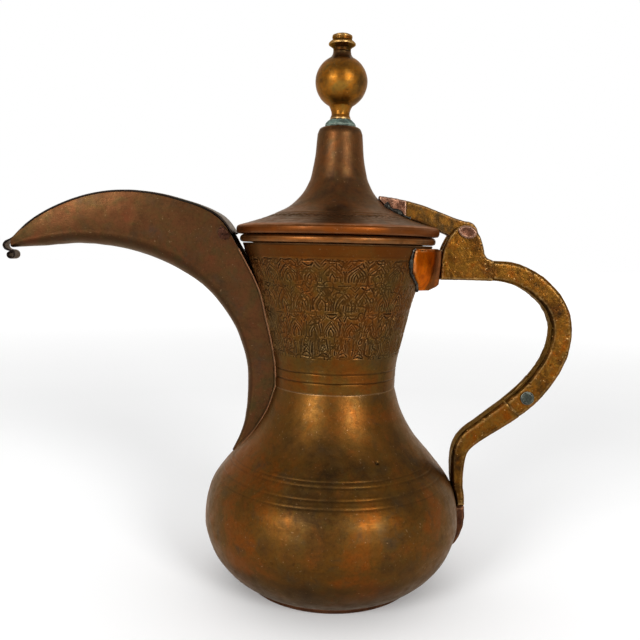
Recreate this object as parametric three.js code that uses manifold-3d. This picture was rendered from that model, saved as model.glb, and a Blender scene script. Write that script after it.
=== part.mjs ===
// Dallah coffee pot: a raised copper belly and flared neck, a deep beaked spout, a cast brass
// handle lapped and riveted in two lengths, and a domed lid hinged on the head of the handle.
// Millimetres, +Z up. The origin is the centre of the flat underside, the spout points to -X
// and the handle to +X.
import * as THREE from 'three';
import { mergeVertices } from 'three/addons/utils/BufferGeometryUtils.js';
import { ParametricGeometry } from 'three/addons/geometries/ParametricGeometry.js';
import Module from 'manifold-3d';

// General
const WALL = 1.2;
const JOINT_GAP = 0.3;
const ROUND_SEGMENTS = 36;
const SMALL_SEGMENTS = 20;

// Body
const BASE_RADIUS = 41.8;
const BASE_FLANGE_HEIGHT = 3.0;
const BELLY_RADIUS = 63.9;
const BELLY_HEIGHT = 34;
const WAIST_RADIUS = 30.4;
const WAIST_HEIGHT = 100;
const NECK_LENGTH = 70.2;
const MOUTH_RADIUS = 46.9;

// Lid
const LID_OVERHANG = 3.0;
const LID_SEAT_GAP = 0.35;
const LID_RING_HEIGHT = 3.6;
const LID_BEAD_HEIGHT = 4.3;
const LID_COLLAR_DEPTH = 6.0;
const LID_COLLAR_PLAY = 1.3;
const DOME_RISE = 48;
const DOME_NECK_RADIUS = 9.7;

// Finial
const STUD_RADIUS = 1.6;
const STUD_PLAY = 0.35;
const KNOP_BALL_RADIUS = 12.3;
const KNOP_NECK_RADIUS = 4.4;
const KNOP_LOWER_NECK = 5.6;
const KNOP_UPPER_NECK = 1.8;
const FINIAL_CAP_HEIGHT = 7.9;

// Hinge
const PIN_BEYOND_LID = 13.3;
const PIN_ABOVE_MOUTH = 6.7;
const PIN_RADIUS = 1.6;
const PIN_PLAY = 0.45;
const PIN_HEAD_RADIUS = 4.3;
const PIN_HEAD_HEIGHT = 0.9;
const ARM_WIDTH = 5.2;
const ARM_SIDE_PLAY = 0.35;
const ARM_KNUCKLE_RADIUS = 6.1;
const ARM_SHEATH_WALL = 1.3;

// Handle
const HEAD_WIDTH = 12.4;
const HANDLE_WIDTH = 10;
const HANDLE_REACH = 49.6;
const HANDLE_TIP_HEIGHT = 17.5;
const SHOE_TOP_HEIGHT = 39;
const SHOE_THICKNESS = 3.9;
const LAP_HALF_LENGTH = 9;
const RIVET_RADIUS = 1.9;
const RIVET_HEAD_RADIUS = 3.5;
const RIVET_HEAD_HEIGHT = 0.7;
const TANG_WIDTH = 7;

// Spout
const SPOUT_LENGTH = 116.8;
const SPOUT_HALF_WIDTH = 13.4;
const SPOUT_FOOT_HEIGHT = 63;
const COVER_THICKNESS = 1.5;
const COVER_START = 0.4;
const PATCH_THICKNESS = 0.9;
const LID_CLEARANCE = 0.9;
const HOOK_DROP = 5.9;
const EYE_RADIUS = 2.1;
const EYE_BORE = 1.2;
const EYE_LENGTH = 7.4;

// Levels and radii that follow from the sizes above
const MOUTH_HEIGHT = WAIST_HEIGHT + NECK_LENGTH;
const LID_RADIUS = MOUTH_RADIUS + LID_OVERHANG;
const RING_BOTTOM = MOUTH_HEIGHT + LID_SEAT_GAP;
const RING_TOP = RING_BOTTOM + LID_RING_HEIGHT;
const DOME_BOTTOM = RING_TOP + JOINT_GAP;
const BEAD_TOP = DOME_BOTTOM + LID_BEAD_HEIGHT;
const DOME_TOP = BEAD_TOP + DOME_RISE;
const PIN_X = LID_RADIUS + PIN_BEYOND_LID;
const PIN_Z = MOUTH_HEIGHT + PIN_ABOVE_MOUTH;
const SLOT_HALF_WIDTH = ARM_WIDTH / 2 + ARM_SIDE_PLAY;

const wasm = await Module();
wasm.setup();

// ---------------------------------------------------------------- solids

function signedVolume(position, triangles) {
  const a = new THREE.Vector3();
  const b = new THREE.Vector3();
  const c = new THREE.Vector3();
  let total = 0;
  for (let i = 0; i < triangles.length; i += 3) {
    a.fromBufferAttribute(position, triangles[i]);
    b.fromBufferAttribute(position, triangles[i + 1]);
    c.fromBufferAttribute(position, triangles[i + 2]);
    total += a.dot(b.cross(c)) / 6;
  }
  return total;
}

// A closed geometry as a solid, with its faces turned outward.
function toSolid(geometry) {
  const bare = geometry.clone();
  bare.deleteAttribute('normal');
  bare.deleteAttribute('uv');
  const merged = mergeVertices(bare, 1e-4);
  const index = merged.index.array;
  let triangles = [];
  for (let i = 0; i < index.length; i += 3) {
    const [a, b, c] = [index[i], index[i + 1], index[i + 2]];
    if (a !== b && b !== c && c !== a) triangles.push(a, b, c);
  }
  if (signedVolume(merged.attributes.position, triangles) < 0) triangles = triangles.reverse();
  return new wasm.Manifold(new wasm.Mesh({
    numProp: 3,
    vertProperties: Float32Array.from(merged.attributes.position.array),
    triVerts: Uint32Array.from(triangles),
  }));
}

function toGeometry(solid) {
  const mesh = solid.getMesh();
  const geometry = new THREE.BufferGeometry();
  const positions = Float32Array.from(mesh.vertProperties);
  geometry.setAttribute('position', new THREE.BufferAttribute(positions, 3));
  geometry.setIndex(new THREE.BufferAttribute(Uint32Array.from(mesh.triVerts), 1));
  geometry.computeVertexNormals();
  return geometry;
}

const point = ([x, z]) => new THREE.Vector2(x, z);

// A solid turned about the pot's axis from a closed outline of [radius, height] points.
function turned(outline, segments = ROUND_SEGMENTS) {
  const points = outline.map(point);
  const first = points[0];
  if (first.x > 0) points.push(first.clone());
  return toSolid(new THREE.LatheGeometry(points, segments).rotateX(Math.PI / 2));
}

// A plate cut from an [x, z] outline, width thick, centred on y with chamfered edges.
function plate(outline, width, chamfer = 0, y = 0, holes = []) {
  const shape = new THREE.Shape(outline.map(point));
  for (const [x, z, radius] of holes) {
    shape.holes.push(new THREE.Path().absarc(x, z, radius, 0, 2 * Math.PI, true));
  }
  const geometry = new THREE.ExtrudeGeometry(shape, {
    depth: width - 2 * chamfer,
    curveSegments: SMALL_SEGMENTS / 2,
    bevelEnabled: chamfer > 0,
    bevelThickness: chamfer,
    bevelSize: chamfer,
    bevelOffset: -chamfer,
    bevelSegments: 1,
  });
  geometry.translate(0, 0, chamfer - width / 2).rotateX(Math.PI / 2).translate(0, y, 0);
  return toSolid(geometry);
}

// A slab with an [x, y] outline between two heights.
function slab(outline, bottom, top) {
  const shape = new THREE.Shape(outline.map(point));
  const geometry = new THREE.ExtrudeGeometry(shape, { depth: top - bottom, bevelEnabled: false });
  return toSolid(geometry.translate(0, 0, bottom));
}

// A block between two corners, turned by angle about the y line through (cx, cz).
function block(low, high, angle = 0, cx = 0, cz = 0) {
  const size = high.map((value, axis) => value - low[axis]);
  const middle = high.map((value, axis) => (value + low[axis]) / 2);
  const geometry = new THREE.BoxGeometry(...size).translate(...middle);
  return toSolid(geometry.rotateY(angle).translate(cx, 0, cz));
}

// A round bar along y, made from [radius, y] steps and centred on (x, z).
function crossBar(steps, x, z, segments = SMALL_SEGMENTS) {
  const points = [[0, steps[0][1]], ...steps, [0, steps.at(-1)[1]]].map(point);
  return toSolid(new THREE.LatheGeometry(points, segments).translate(x, 0, z));
}

// A solid through closed rings: ring(t) gives the same number of points for each t in [0, 1].
function lofted(ring, stations) {
  const count = ring(0).length;
  const rings = [];
  for (let i = 0; i <= stations; i += 1) rings.push(ring(i / stations));
  const centre = (points) => {
    const sum = new THREE.Vector3();
    for (const p of points) sum.add(p);
    return sum.divideScalar(points.length);
  };
  const rows = [rings[0].map(() => centre(rings[0])), ...rings];
  rows.push(rings.at(-1).map(() => centre(rings.at(-1))));
  const surface = (u, v, target) => {
    const row = rows[Math.round(v * (rows.length - 1))];
    target.copy(row[Math.round(u * count) % count]);
  };
  return toSolid(new ParametricGeometry(surface, count, rows.length - 1));
}

// ---------------------------------------------------------------- curves

const lerp = THREE.MathUtils.lerp;

// Smooth [x, z] points through a few chosen ones.
function smooth(points, count) {
  const curve = new THREE.SplineCurve(points.map(point));
  return curve.getPoints(count).map((p) => [p.x, p.y]);
}

// A path moved sideways: positive distances go to the right of its direction.
function offset(path, distance) {
  const amount = (i) => (typeof distance === 'number' ? distance : distance(i));
  return path.map(([x, z], i) => {
    const [x0, z0] = path[Math.max(i - 1, 0)];
    const [x1, z1] = path[Math.min(i + 1, path.length - 1)];
    const length = Math.hypot(x1 - x0, z1 - z0);
    const d = amount(i) / length;
    return [x + d * (z1 - z0), z - d * (x1 - x0)];
  });
}

function radiusAt(path, height) {
  for (let i = 1; i < path.length; i += 1) {
    const [r0, z0] = path[i - 1];
    const [r1, z1] = path[i];
    if (height <= z1) return lerp(r0, r1, Math.max(0, (height - z0) / (z1 - z0)));
  }
  return path.at(-1)[0];
}

// Belly and neck outlines: each pair is a share of the change in radius and in height.
const SEAM = JOINT_GAP / 2;
const belly = (from, to, shares) => shares.map(([u, v]) => [
  lerp(from[0], to[0], u),
  lerp(from[1], to[1], v),
]);
const BELLY_FOOT = [BASE_RADIUS + 1.2, BASE_FLANGE_HEIGHT + JOINT_GAP];
const WAIST = [WAIST_RADIUS, WAIST_HEIGHT];
const MOUTH = [MOUTH_RADIUS, MOUTH_HEIGHT];
const BELLY_WIDEST = [BELLY_RADIUS, BELLY_HEIGHT];

const bellyOutline = smooth([
  ...belly(BELLY_FOOT, BELLY_WIDEST, [[0, 0], [0.17, 0.045], [0.49, 0.22], [0.79, 0.48], [0.97, 0.8]]),
  ...belly(BELLY_WIDEST, WAIST, [
    [0, 0], [0.03, 0.14], [0.13, 0.28], [0.395, 0.455], [0.695, 0.636], [0.893, 0.818],
  ]),
  WAIST,
], 15);

const neckOutline = smooth(
  belly(WAIST, MOUTH, [
    [0, 0], [0.04, 0.17], [0.19, 0.34], [0.3, 0.456], [0.415, 0.57], [0.585, 0.712], [0.79, 0.855], [1, 1],
  ]),
  10,
);

const bodyOutline = [...bellyOutline, ...neckOutline.slice(1)];
const bodyRadius = (height) => radiusAt(bodyOutline, height);

// Lid dome, from the top of its rolled bead to the top of its neck.
const domeOutline = smooth(belly(
  [LID_RADIUS - 1.2, BEAD_TOP],
  [DOME_NECK_RADIUS, DOME_TOP],
  [[0, 0], [0.28, 0.07], [0.46, 0.13], [0.635, 0.205], [0.785, 0.325], [0.87, 0.445], [0.905, 0.53],
    [0.945, 0.7], [0.975, 0.86], [1, 1]],
), 13);

// The whole body, or the closed lid, as a solid grown by a clearance, for cutting what meets it.
function bodyClearance(gap) {
  const grown = offset(bodyOutline, gap);
  return turned([[0, grown[0][1]], ...grown, [0, grown.at(-1)[1]]]);
}

function domeClearance(gap) {
  const rim = [LID_RADIUS + gap, DOME_BOTTOM - gap];
  const bead = [LID_RADIUS + gap, BEAD_TOP - 1];
  const grown = offset(domeOutline, gap);
  return turned([[0, rim[1]], rim, bead, ...grown, [0, DOME_TOP + gap]]);
}

// ---------------------------------------------------------------- body

function baseDisc() {
  const inner = BASE_RADIUS - WALL;
  return turned([
    [0, 0], [BASE_RADIUS - 0.7, 0], [BASE_RADIUS, 0.7], [BASE_RADIUS, BASE_FLANGE_HEIGHT],
    [inner, BASE_FLANGE_HEIGHT], [inner, WALL + 0.2], [0, WALL + 0.2],
  ]);
}

function bellyShell() {
  const outer = bellyOutline.slice(0, -1).concat([[WAIST_RADIUS, WAIST_HEIGHT - SEAM]]);
  const inner = offset(outer, -WALL);
  inner[0] = [BELLY_FOOT[0] - 1.5, BELLY_FOOT[1] + WALL];
  inner[inner.length - 1] = [WAIST_RADIUS - WALL, WAIST_HEIGHT - SEAM];
  const lip = [[BASE_RADIUS - WALL - 0.8, BELLY_FOOT[1] + WALL], [BASE_RADIUS - WALL - 0.8, BELLY_FOOT[1]]];
  return turned([...outer, ...inner.reverse(), ...lip]);
}

// The neck with the pouring slot that opens it into the spout.
function neckShell() {
  const outer = neckOutline.map(([r, z], i) => [r, i === 0 ? WAIST_HEIGHT + SEAM : z]);
  const inner = offset(outer, -WALL);
  inner[0] = [WAIST_RADIUS - WALL, WAIST_HEIGHT + SEAM];
  inner[inner.length - 1] = [MOUTH_RADIUS - WALL, MOUTH_HEIGHT];
  const bottom = WAIST_HEIGHT + 0.2 * NECK_LENGTH;
  const top = WAIST_HEIGHT + 0.8 * NECK_LENGTH;
  const half = SPOUT_HALF_WIDTH * 0.45;
  const slot = block([-2 * MOUTH_RADIUS, -half, bottom], [-WAIST_RADIUS / 2, half, top]);
  return turned([...outer, ...inner.reverse()]).subtract(slot);
}

// ---------------------------------------------------------------- spout

const SPOUT_TIP_X = -(MOUTH_RADIUS + SPOUT_LENGTH);
const beakX = (share) => lerp(-MOUTH_RADIUS, SPOUT_TIP_X, share);
const rise = (share) => lerp(SPOUT_FOOT_HEIGHT, MOUTH_HEIGHT, share);
const aboveMouth = (height) => MOUTH_HEIGHT + height;
const outside = (height, extra) => -(bodyRadius(height) + extra);

// Upper edge, from inside the body up the neck and out along the top of the beak.
const SPOUT_TOP = new THREE.SplineCurve([
  [outside(rise(0), -6), rise(0) - 3], [outside(rise(0.12), -5), rise(0.12)],
  [outside(rise(0.24), -4), rise(0.24)], [outside(rise(0.36), -3), rise(0.36)],
  [outside(rise(0.5), -3), rise(0.5)], [outside(rise(0.65), -3), rise(0.65)],
  [outside(rise(0.8), -3), rise(0.8)], [outside(rise(0.96), 0.5), rise(0.97)],
  [beakX(0.065), aboveMouth(10.5)], [beakX(0.14), aboveMouth(16.4)], [beakX(0.235), aboveMouth(20)],
  [beakX(0.34), aboveMouth(22.8)], [beakX(0.46), aboveMouth(24)], [beakX(0.58), aboveMouth(23)],
  [beakX(0.7), aboveMouth(19.4)], [beakX(0.81), aboveMouth(13.9)], [beakX(0.9), aboveMouth(7.4)],
  [beakX(0.98), aboveMouth(-0.6)],
].map(point));

// Keel, from the foot on the belly round the outside of the bend to the pouring tip.
const SPOUT_KEEL = new THREE.SplineCurve([
  [outside(rise(0), 0.5), rise(0)], [outside(rise(0.12), 5.6), rise(0.12)],
  [outside(rise(0.22), 9.6), rise(0.22)], [outside(rise(0.34), 12.8), rise(0.34)],
  [outside(rise(0.47), 13.2), rise(0.455)], [beakX(0.018), rise(0.585)], [beakX(0.076), rise(0.69)],
  [beakX(0.152), rise(0.785)], [beakX(0.237), rise(0.85)], [beakX(0.318), aboveMouth(-11.2)],
  [beakX(0.407), aboveMouth(-7.2)], [beakX(0.5), aboveMouth(-4.3)], [beakX(0.595), aboveMouth(-2.8)],
  [beakX(0.69), aboveMouth(-2.3)], [beakX(0.775), aboveMouth(-2.9)], [beakX(0.85), aboveMouth(-3.8)],
  [beakX(0.91), aboveMouth(-4.4)], [beakX(0.955), aboveMouth(-4.8)], [beakX(0.982), aboveMouth(-5.1)],
].map(point));

const SPOUT_WIDTHS = new THREE.SplineCurve([
  [0, 0.13], [0.1, 0.4], [0.2, 0.58], [0.32, 0.76], [0.45, 0.98], [0.55, 1], [0.7, 0.86], [0.85, 0.62],
  [1, 0.37],
].map(point));

const spoutHalfWidth = (t) => SPOUT_HALF_WIDTH * SPOUT_WIDTHS.getPoint(t).y;

// One U-shaped section: down one side, round the keel and up the other, grown by a distance
// and carried straight on past its upper edge.
function spoutSection(t, grow, extend, steps) {
  const top = SPOUT_TOP.getPoint(t);
  const keel = SPOUT_KEEL.getPoint(t);
  const deep = new THREE.Vector2().subVectors(keel, top);
  const unit = deep.clone().normalize();
  const half = spoutHalfWidth(t) + grow;
  const points = [new THREE.Vector3(top.x - unit.x * extend, half, top.y - unit.y * extend)];
  for (let i = 0; i <= steps; i += 1) {
    const angle = Math.PI * i / steps;
    const across = Math.sign(Math.cos(angle)) * Math.abs(Math.cos(angle)) ** 0.8;
    const down = Math.sin(angle);
    const x = top.x + (deep.x + unit.x * grow) * down;
    const z = top.y + (deep.y + unit.y * grow) * down;
    points.push(new THREE.Vector3(x, half * across, z));
  }
  points.push(new THREE.Vector3(points[0].x, -half, points[0].z));
  return points;
}

// The spout as a filled beak.
function beak(grow, extend, from = 0) {
  return lofted((share) => spoutSection(lerp(from, 1, share), grow, extend, 10), 18);
}

// The strip along the top of the spout: above and below are its faces from the upper edge line.
function topStrip(above, below, extraWidth) {
  return lofted((share) => {
    const t = lerp(COVER_START, 1, share);
    const at = SPOUT_TOP.getPoint(t);
    const along = SPOUT_TOP.getTangent(t);
    const half = Math.max(spoutHalfWidth(t), EYE_LENGTH / 2 - 0.7) + extraWidth;
    const corner = (side, height) => new THREE.Vector3(
      at.x + along.y * height,
      side * half,
      at.y - along.x * height,
    );
    return [corner(-1, above), corner(1, above), corner(1, -below), corner(-1, -below)];
  }, 14);
}

// Everything that the lid needs free as it lifts off the mouth.
function lidClearance() {
  const radius = LID_RADIUS + LID_CLEARANCE;
  return turned([[0, MOUTH_HEIGHT - 1.5], [radius - 2, MOUTH_HEIGHT - 1.5], [radius, MOUTH_HEIGHT + 1.5],
    [radius, DOME_TOP], [0, DOME_TOP]]);
}

// The end of the cover, bent down in front of the spout's tip.
function coverHook(grow) {
  const end = SPOUT_TOP.getPoint(1);
  const bend = smooth([
    [end.x + 0.5, end.y - 0.6], [end.x - 1.3, end.y - 2.2], [end.x - 1.7, end.y - 4.0],
    [end.x - 0.2, end.y - HOOK_DROP + 0.5], [end.x + 1.7, end.y - HOOK_DROP],
  ], 8);
  const half = 0.6 + grow;
  return plate([...offset(bend, -half), ...offset(bend, half).reverse()], EYE_LENGTH + 2 * grow);
}

function spoutTrough() {
  const end = SPOUT_TOP.getPoint(1);
  const mouthCut = block([end.x - 20, -20, end.y - 30], [SPOUT_TIP_X + 3, 20, end.y + 20]);
  return beak(0, 1)
    .subtract(beak(-WALL, 6, 0.1))
    .subtract(topStrip(8, COVER_THICKNESS + JOINT_GAP, 3))
    .subtract(mouthCut)
    .subtract(coverHook(JOINT_GAP))
    .subtract(bodyClearance(JOINT_GAP))
    .subtract(lidClearance());
}

// The strip that closes the top of the spout, hooked at the tip and rolled into an eye.
function spoutCover() {
  const end = SPOUT_TOP.getPoint(1);
  const eyeX = end.x + 1.2;
  const eyeZ = end.y - HOOK_DROP - EYE_RADIUS + 0.3;
  const circle = Array.from({ length: 16 }, (_, i) => [
    eyeX + EYE_RADIUS * Math.cos(Math.PI * i / 8),
    eyeZ + EYE_RADIUS * Math.sin(Math.PI * i / 8),
  ]);
  return topStrip(0, COVER_THICKNESS, 0.7)
    .subtract(lidClearance())
    .subtract(bodyClearance(JOINT_GAP))
    .add(coverHook(0))
    .add(plate(circle, EYE_LENGTH, 0, 0, [[eyeX, eyeZ, EYE_BORE]]));
}

// A small patch over the upper rear corner of the spout, following its wall.
function spoutPatch() {
  const skin = beak(JOINT_GAP + PATCH_THICKNESS, 1).subtract(beak(JOINT_GAP, 6));
  const x = -(LID_RADIUS + LID_CLEARANCE + 0.6);
  const z = MOUTH_HEIGHT + 0.8;
  return skin
    .intersect(block([x - 6.2, -30, z], [x, 0, z + 7.4]))
    .subtract(topStrip(8, COVER_THICKNESS + JOINT_GAP, 3));
}

// ---------------------------------------------------------------- handle

const drop = (share) => lerp(PIN_Z, HANDLE_TIP_HEIGHT, share);
const reach = (share) => PIN_X + HANDLE_REACH * share;
const shoeMiddle = (height) => bodyRadius(height) + JOINT_GAP + SHOE_THICKNESS / 2;

// Centre line of the bar with its thickness at each point: [x, z, thickness].
const HANDLE_LINE = [
  [reach(0.1), drop(0.113), 9.8], [reach(0.3), drop(0.113), 9.4], [reach(0.48), drop(0.119), 9.2],
  [reach(0.62), drop(0.135), 9.2], [reach(0.76), drop(0.163), 9.2], [reach(0.89), drop(0.203), 9.1],
  [reach(0.97), drop(0.248), 9.2], [reach(1), drop(0.294), 9.2], [reach(0.985), drop(0.347), 9.5],
  [reach(0.925), drop(0.402), 9.8], [reach(0.807), drop(0.461), 9.9], [reach(0.676), drop(0.509), 10.2],
  [reach(0.54), drop(0.546), 9.8], [reach(0.38), drop(0.583), 9], [reach(0.235), drop(0.616), 8.2],
  [reach(0.11), drop(0.646), 7.8], [reach(0.04), drop(0.676), 6.7], [reach(0.012), drop(0.716), 5.8],
  [shoeMiddle(50) + 1, 50, 5.2], [shoeMiddle(44) + 0.3, 44, 4.4],
  [shoeMiddle(SHOE_TOP_HEIGHT), SHOE_TOP_HEIGHT, SHOE_THICKNESS],
];
const BAR_STEPS = 44;
const barCurve = new THREE.CatmullRomCurve3(HANDLE_LINE.map((p) => new THREE.Vector3(...p)));
const barPoints = barCurve.getPoints(BAR_STEPS);
const RIVET = new THREE.Vector2(reach(0.676), drop(0.509));

// The outline of the bar between two of its steps.
function barOutline(from, to) {
  const part = barPoints.slice(from, to + 1);
  const path = part.map((p) => [p.x, p.y]);
  const half = (sign) => (i) => sign * part[i].z / 2;
  return [...offset(path, half(1)), ...offset(path, half(-1)).reverse()];
}

function nearestStep(x, z) {
  const distances = barPoints.map((p) => Math.hypot(p.x - x, p.y - z));
  return distances.indexOf(Math.min(...distances));
}

const RIVET_STEP = nearestStep(RIVET.x, RIVET.y);
const lapBefore = barPoints[RIVET_STEP - 1];
const lapAfter = barPoints[RIVET_STEP + 1];
const LAP_ANGLE = Math.atan2(lapAfter.y - lapBefore.y, lapAfter.x - lapBefore.x);

// A cutting block beside the rivet: along the bar from and to, and across it from y0 to y1.
function lapBlock(from, to, y0, y1) {
  return block([from, y0, -12], [to, y1, 12], -LAP_ANGLE, RIVET.x, RIVET.y);
}

function rivetHole() {
  const radius = RIVET_RADIUS + JOINT_GAP;
  return crossBar([[radius, -HEAD_WIDTH], [radius, HEAD_WIDTH]], RIVET.x, RIVET.y);
}

function pinHole(radius) {
  return crossBar([[radius, -HEAD_WIDTH], [radius, HEAD_WIDTH]], PIN_X, PIN_Z);
}

const HEAD_LEFT = PIN_X - 12.2;
const HEAD_BOTTOM = PIN_Z - 22.9;
const TANG_TOP = PIN_Z - 11;
const TANG_BOTTOM = PIN_Z - 21;
const TANG_START = bodyRadius(TANG_TOP) + 2 * JOINT_GAP;

// The head with its two ears, the upper arm of the handle, and the tang held in the socket.
function handleUpper() {
  const head = plate([
    [HEAD_LEFT, HEAD_BOTTOM], [HEAD_LEFT, PIN_Z - 13], [PIN_X - 11.6, PIN_Z - 8.3],
    [PIN_X - 10.3, PIN_Z - 4.9], [PIN_X - 8.5, PIN_Z - 1.4], [PIN_X - 6.1, PIN_Z + 1.6],
    [PIN_X - 3.8, PIN_Z + 3.5], [PIN_X - 0.8, PIN_Z + 4.3], [PIN_X + 2.2, PIN_Z + 4.0],
    [PIN_X + 4.6, PIN_Z + 2.1], [PIN_X + 6.7, PIN_Z - 1.6], [PIN_X + 8.3, PIN_Z - 5.9],
    [PIN_X + 9.1, PIN_Z - 9.8], [PIN_X + 10.4, PIN_Z - 11.9], [PIN_X + 13.5, PIN_Z - 13.2],
    [PIN_X + 13.5, HEAD_BOTTOM],
  ], HEAD_WIDTH, 0.8);
  const slot = block(
    [PIN_X - 30, -SLOT_HALF_WIDTH, PIN_Z - ARM_KNUCKLE_RADIUS - 2.2],
    [PIN_X + 30, SLOT_HALF_WIDTH, PIN_Z + 20],
  );
  const tang = block([TANG_START, -TANG_WIDTH / 2, TANG_BOTTOM], [PIN_X - 6, TANG_WIDTH / 2, TANG_TOP]);
  const bar = plate(barOutline(0, nearestStep(RIVET.x, RIVET.y) + 6), HANDLE_WIDTH, 1.3);
  return head.add(bar)
    .add(tang)
    .subtract(slot)
    .subtract(pinHole(PIN_RADIUS + JOINT_GAP))
    .subtract(lapBlock(-LAP_HALF_LENGTH, 40, -JOINT_GAP / 2, HANDLE_WIDTH))
    .subtract(lapBlock(LAP_HALF_LENGTH, 40, -HANDLE_WIDTH, HANDLE_WIDTH))
    .subtract(rivetHole());
}

function handleLower() {
  const bar = plate(barOutline(RIVET_STEP - 6, BAR_STEPS), HANDLE_WIDTH, 1.2);
  const floor = block([0, -HANDLE_WIDTH, 0], [2 * PIN_X, HANDLE_WIDTH, SHOE_TOP_HEIGHT + JOINT_GAP]);
  return bar
    .subtract(lapBlock(-40, LAP_HALF_LENGTH + JOINT_GAP, -HANDLE_WIDTH, JOINT_GAP / 2))
    .subtract(lapBlock(-40, JOINT_GAP - LAP_HALF_LENGTH, -HANDLE_WIDTH, HANDLE_WIDTH))
    .subtract(rivetHole())
    .subtract(floor)
    .subtract(bodyClearance(JOINT_GAP));
}

// The copper shoe that ends the handle and lies down the side of the belly. Its blank reaches
// well inside the belly, which then cuts it to fit.
function handleShoe() {
  const heights = [0, 0.25, 0.5, 0.75, 0.92, 1].map((u) => lerp(SHOE_TOP_HEIGHT, HANDLE_TIP_HEIGHT, u));
  const thickness = [1, 1.02, 1.05, 1.05, 0.85, 0.4].map((u) => u * SHOE_THICKNESS);
  const outer = heights.map((z, i) => [bodyRadius(z) + JOINT_GAP + thickness[i], z]);
  const inner = offset(heights.map((z) => [bodyRadius(z), z]), 3 * SHOE_THICKNESS);
  return plate([...outer, ...inner.reverse()], HANDLE_WIDTH, 1)
    .subtract(bodyClearance(JOINT_GAP));
}

// A headed rod along y that fills a hole between two outer faces.
function headedRod(radius, headRadius, headHeight, width, x, z) {
  const face = width / 2 + JOINT_GAP;
  return crossBar([
    [headRadius * 0.7, -face - headHeight], [headRadius, -face - headHeight * 0.4], [headRadius, -face],
    [radius, -face], [radius, face],
    [headRadius, face], [headRadius, face + headHeight * 0.4], [headRadius * 0.7, face + headHeight],
  ], x, z);
}

// The plan of the socket: a sleeve about the tang with a wing along each side of the neck.
function socketPlan(inset) {
  const right = HEAD_LEFT - JOINT_GAP - inset;
  const sleeve = TANG_WIDTH / 2 + 4.4 - inset;
  const wingX = right - 15.2;
  const wingY = sleeve + 17 - inset;
  const half = [[right, sleeve - 0.6], [right - 3.6, sleeve + 0.4], [wingX + 1.2, wingY],
    [wingX, wingY - 0.6], [wingX - 6, 0]];
  const other = half.slice(0, -1).map(([x, y]) => [x, -y]).reverse();
  return [...half, ...other];
}

// The side view of the socket: rounded above, drawn to a leaf point below.
function socketSide(inset) {
  const right = HEAD_LEFT - JOINT_GAP + 1;
  const top = MOUTH_HEIGHT - 1.2 - inset;
  const bottom = HEAD_BOTTOM - 6 + inset;
  return [[right, top - 1], [right - 6, top], [right - 11, top - 1], [right - 14.5, top - 4],
    [right - 16.5, top - 9], [right - 14, lerp(top, bottom, 0.75)], [right - 10, bottom],
    [right - 5, bottom + 1.2], [right, bottom + 3.6]];
}

function socketCore(gap) {
  const side = plate(socketSide(WALL - gap), 80);
  return slab(socketPlan(WALL - gap), 0, DOME_TOP).intersect(side);
}

function tangClearance() {
  const half = TANG_WIDTH / 2 + JOINT_GAP;
  return block(
    [TANG_START - JOINT_GAP, -half, TANG_BOTTOM - JOINT_GAP],
    [PIN_X, half, TANG_TOP + JOINT_GAP],
  );
}

function handleSocket() {
  return slab(socketPlan(0), 0, DOME_TOP)
    .intersect(plate(socketSide(0), 80))
    .subtract(socketCore(0))
    .subtract(bodyClearance(JOINT_GAP))
    .subtract(tangClearance());
}

function socketSolder() {
  return socketCore(-2 * JOINT_GAP).subtract(bodyClearance(JOINT_GAP)).subtract(tangClearance());
}

// ---------------------------------------------------------------- lid

// The dome is raised from one sheet and rolled over at its edge, and is open underneath.
function lidDome() {
  const inner = offset(domeOutline, -WALL).filter(([, z]) => z > DOME_BOTTOM + 0.4);
  inner[inner.length - 1] = [DOME_NECK_RADIUS - WALL, DOME_TOP - WALL];
  const stud = STUD_RADIUS + STUD_PLAY;
  return turned([
    [LID_RADIUS - 4.4, DOME_BOTTOM], [LID_RADIUS - 0.8, DOME_BOTTOM], [LID_RADIUS, DOME_BOTTOM + 1],
    [LID_RADIUS, BEAD_TOP - 1.2], ...domeOutline,
    [stud, DOME_TOP], [stud, DOME_TOP - WALL], ...inner.reverse(), [LID_RADIUS - 4.4, DOME_BOTTOM + 1.2],
  ]);
}

const RING_INNER = MOUTH_RADIUS - 4.6;

function lidRing() {
  const outer = LID_RADIUS - 1.7;
  return turned([
    [RING_INNER, RING_BOTTOM], [outer - 0.9, RING_BOTTOM], [outer, RING_BOTTOM + 0.9],
    [outer, RING_TOP - 0.7], [outer - 0.7, RING_TOP], [RING_INNER, RING_TOP],
  ]);
}

// The collar that drops inside the mouth and centres the lid.
function lidCollar() {
  const bottom = MOUTH_HEIGHT - LID_COLLAR_DEPTH;
  const atBottom = bodyRadius(bottom) - WALL - LID_COLLAR_PLAY;
  const atTop = RING_INNER - JOINT_GAP;
  const lower = Math.min(atBottom, atTop);
  return turned([
    [lower, bottom], [atTop, RING_BOTTOM], [atTop, RING_TOP], [atTop - WALL, RING_TOP],
    [atTop - WALL, RING_BOTTOM], [lower - WALL, bottom],
  ]);
}

const COLLAR_BOTTOM = DOME_TOP + JOINT_GAP;
const COLLAR_TOP = COLLAR_BOTTOM + 3.4;
const KNOP_BOTTOM = COLLAR_TOP + JOINT_GAP;
const BALL_CENTRE = KNOP_BOTTOM + KNOP_LOWER_NECK + KNOP_BALL_RADIUS;
const KNOP_TOP = BALL_CENTRE + KNOP_BALL_RADIUS + KNOP_UPPER_NECK;
const CAP_BOTTOM = KNOP_TOP + JOINT_GAP;
const CAP_TOP = CAP_BOTTOM + FINIAL_CAP_HEIGHT;
const STUD_BORE = STUD_RADIUS + STUD_PLAY;
const STUD_TOP = CAP_TOP - 3;

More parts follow.
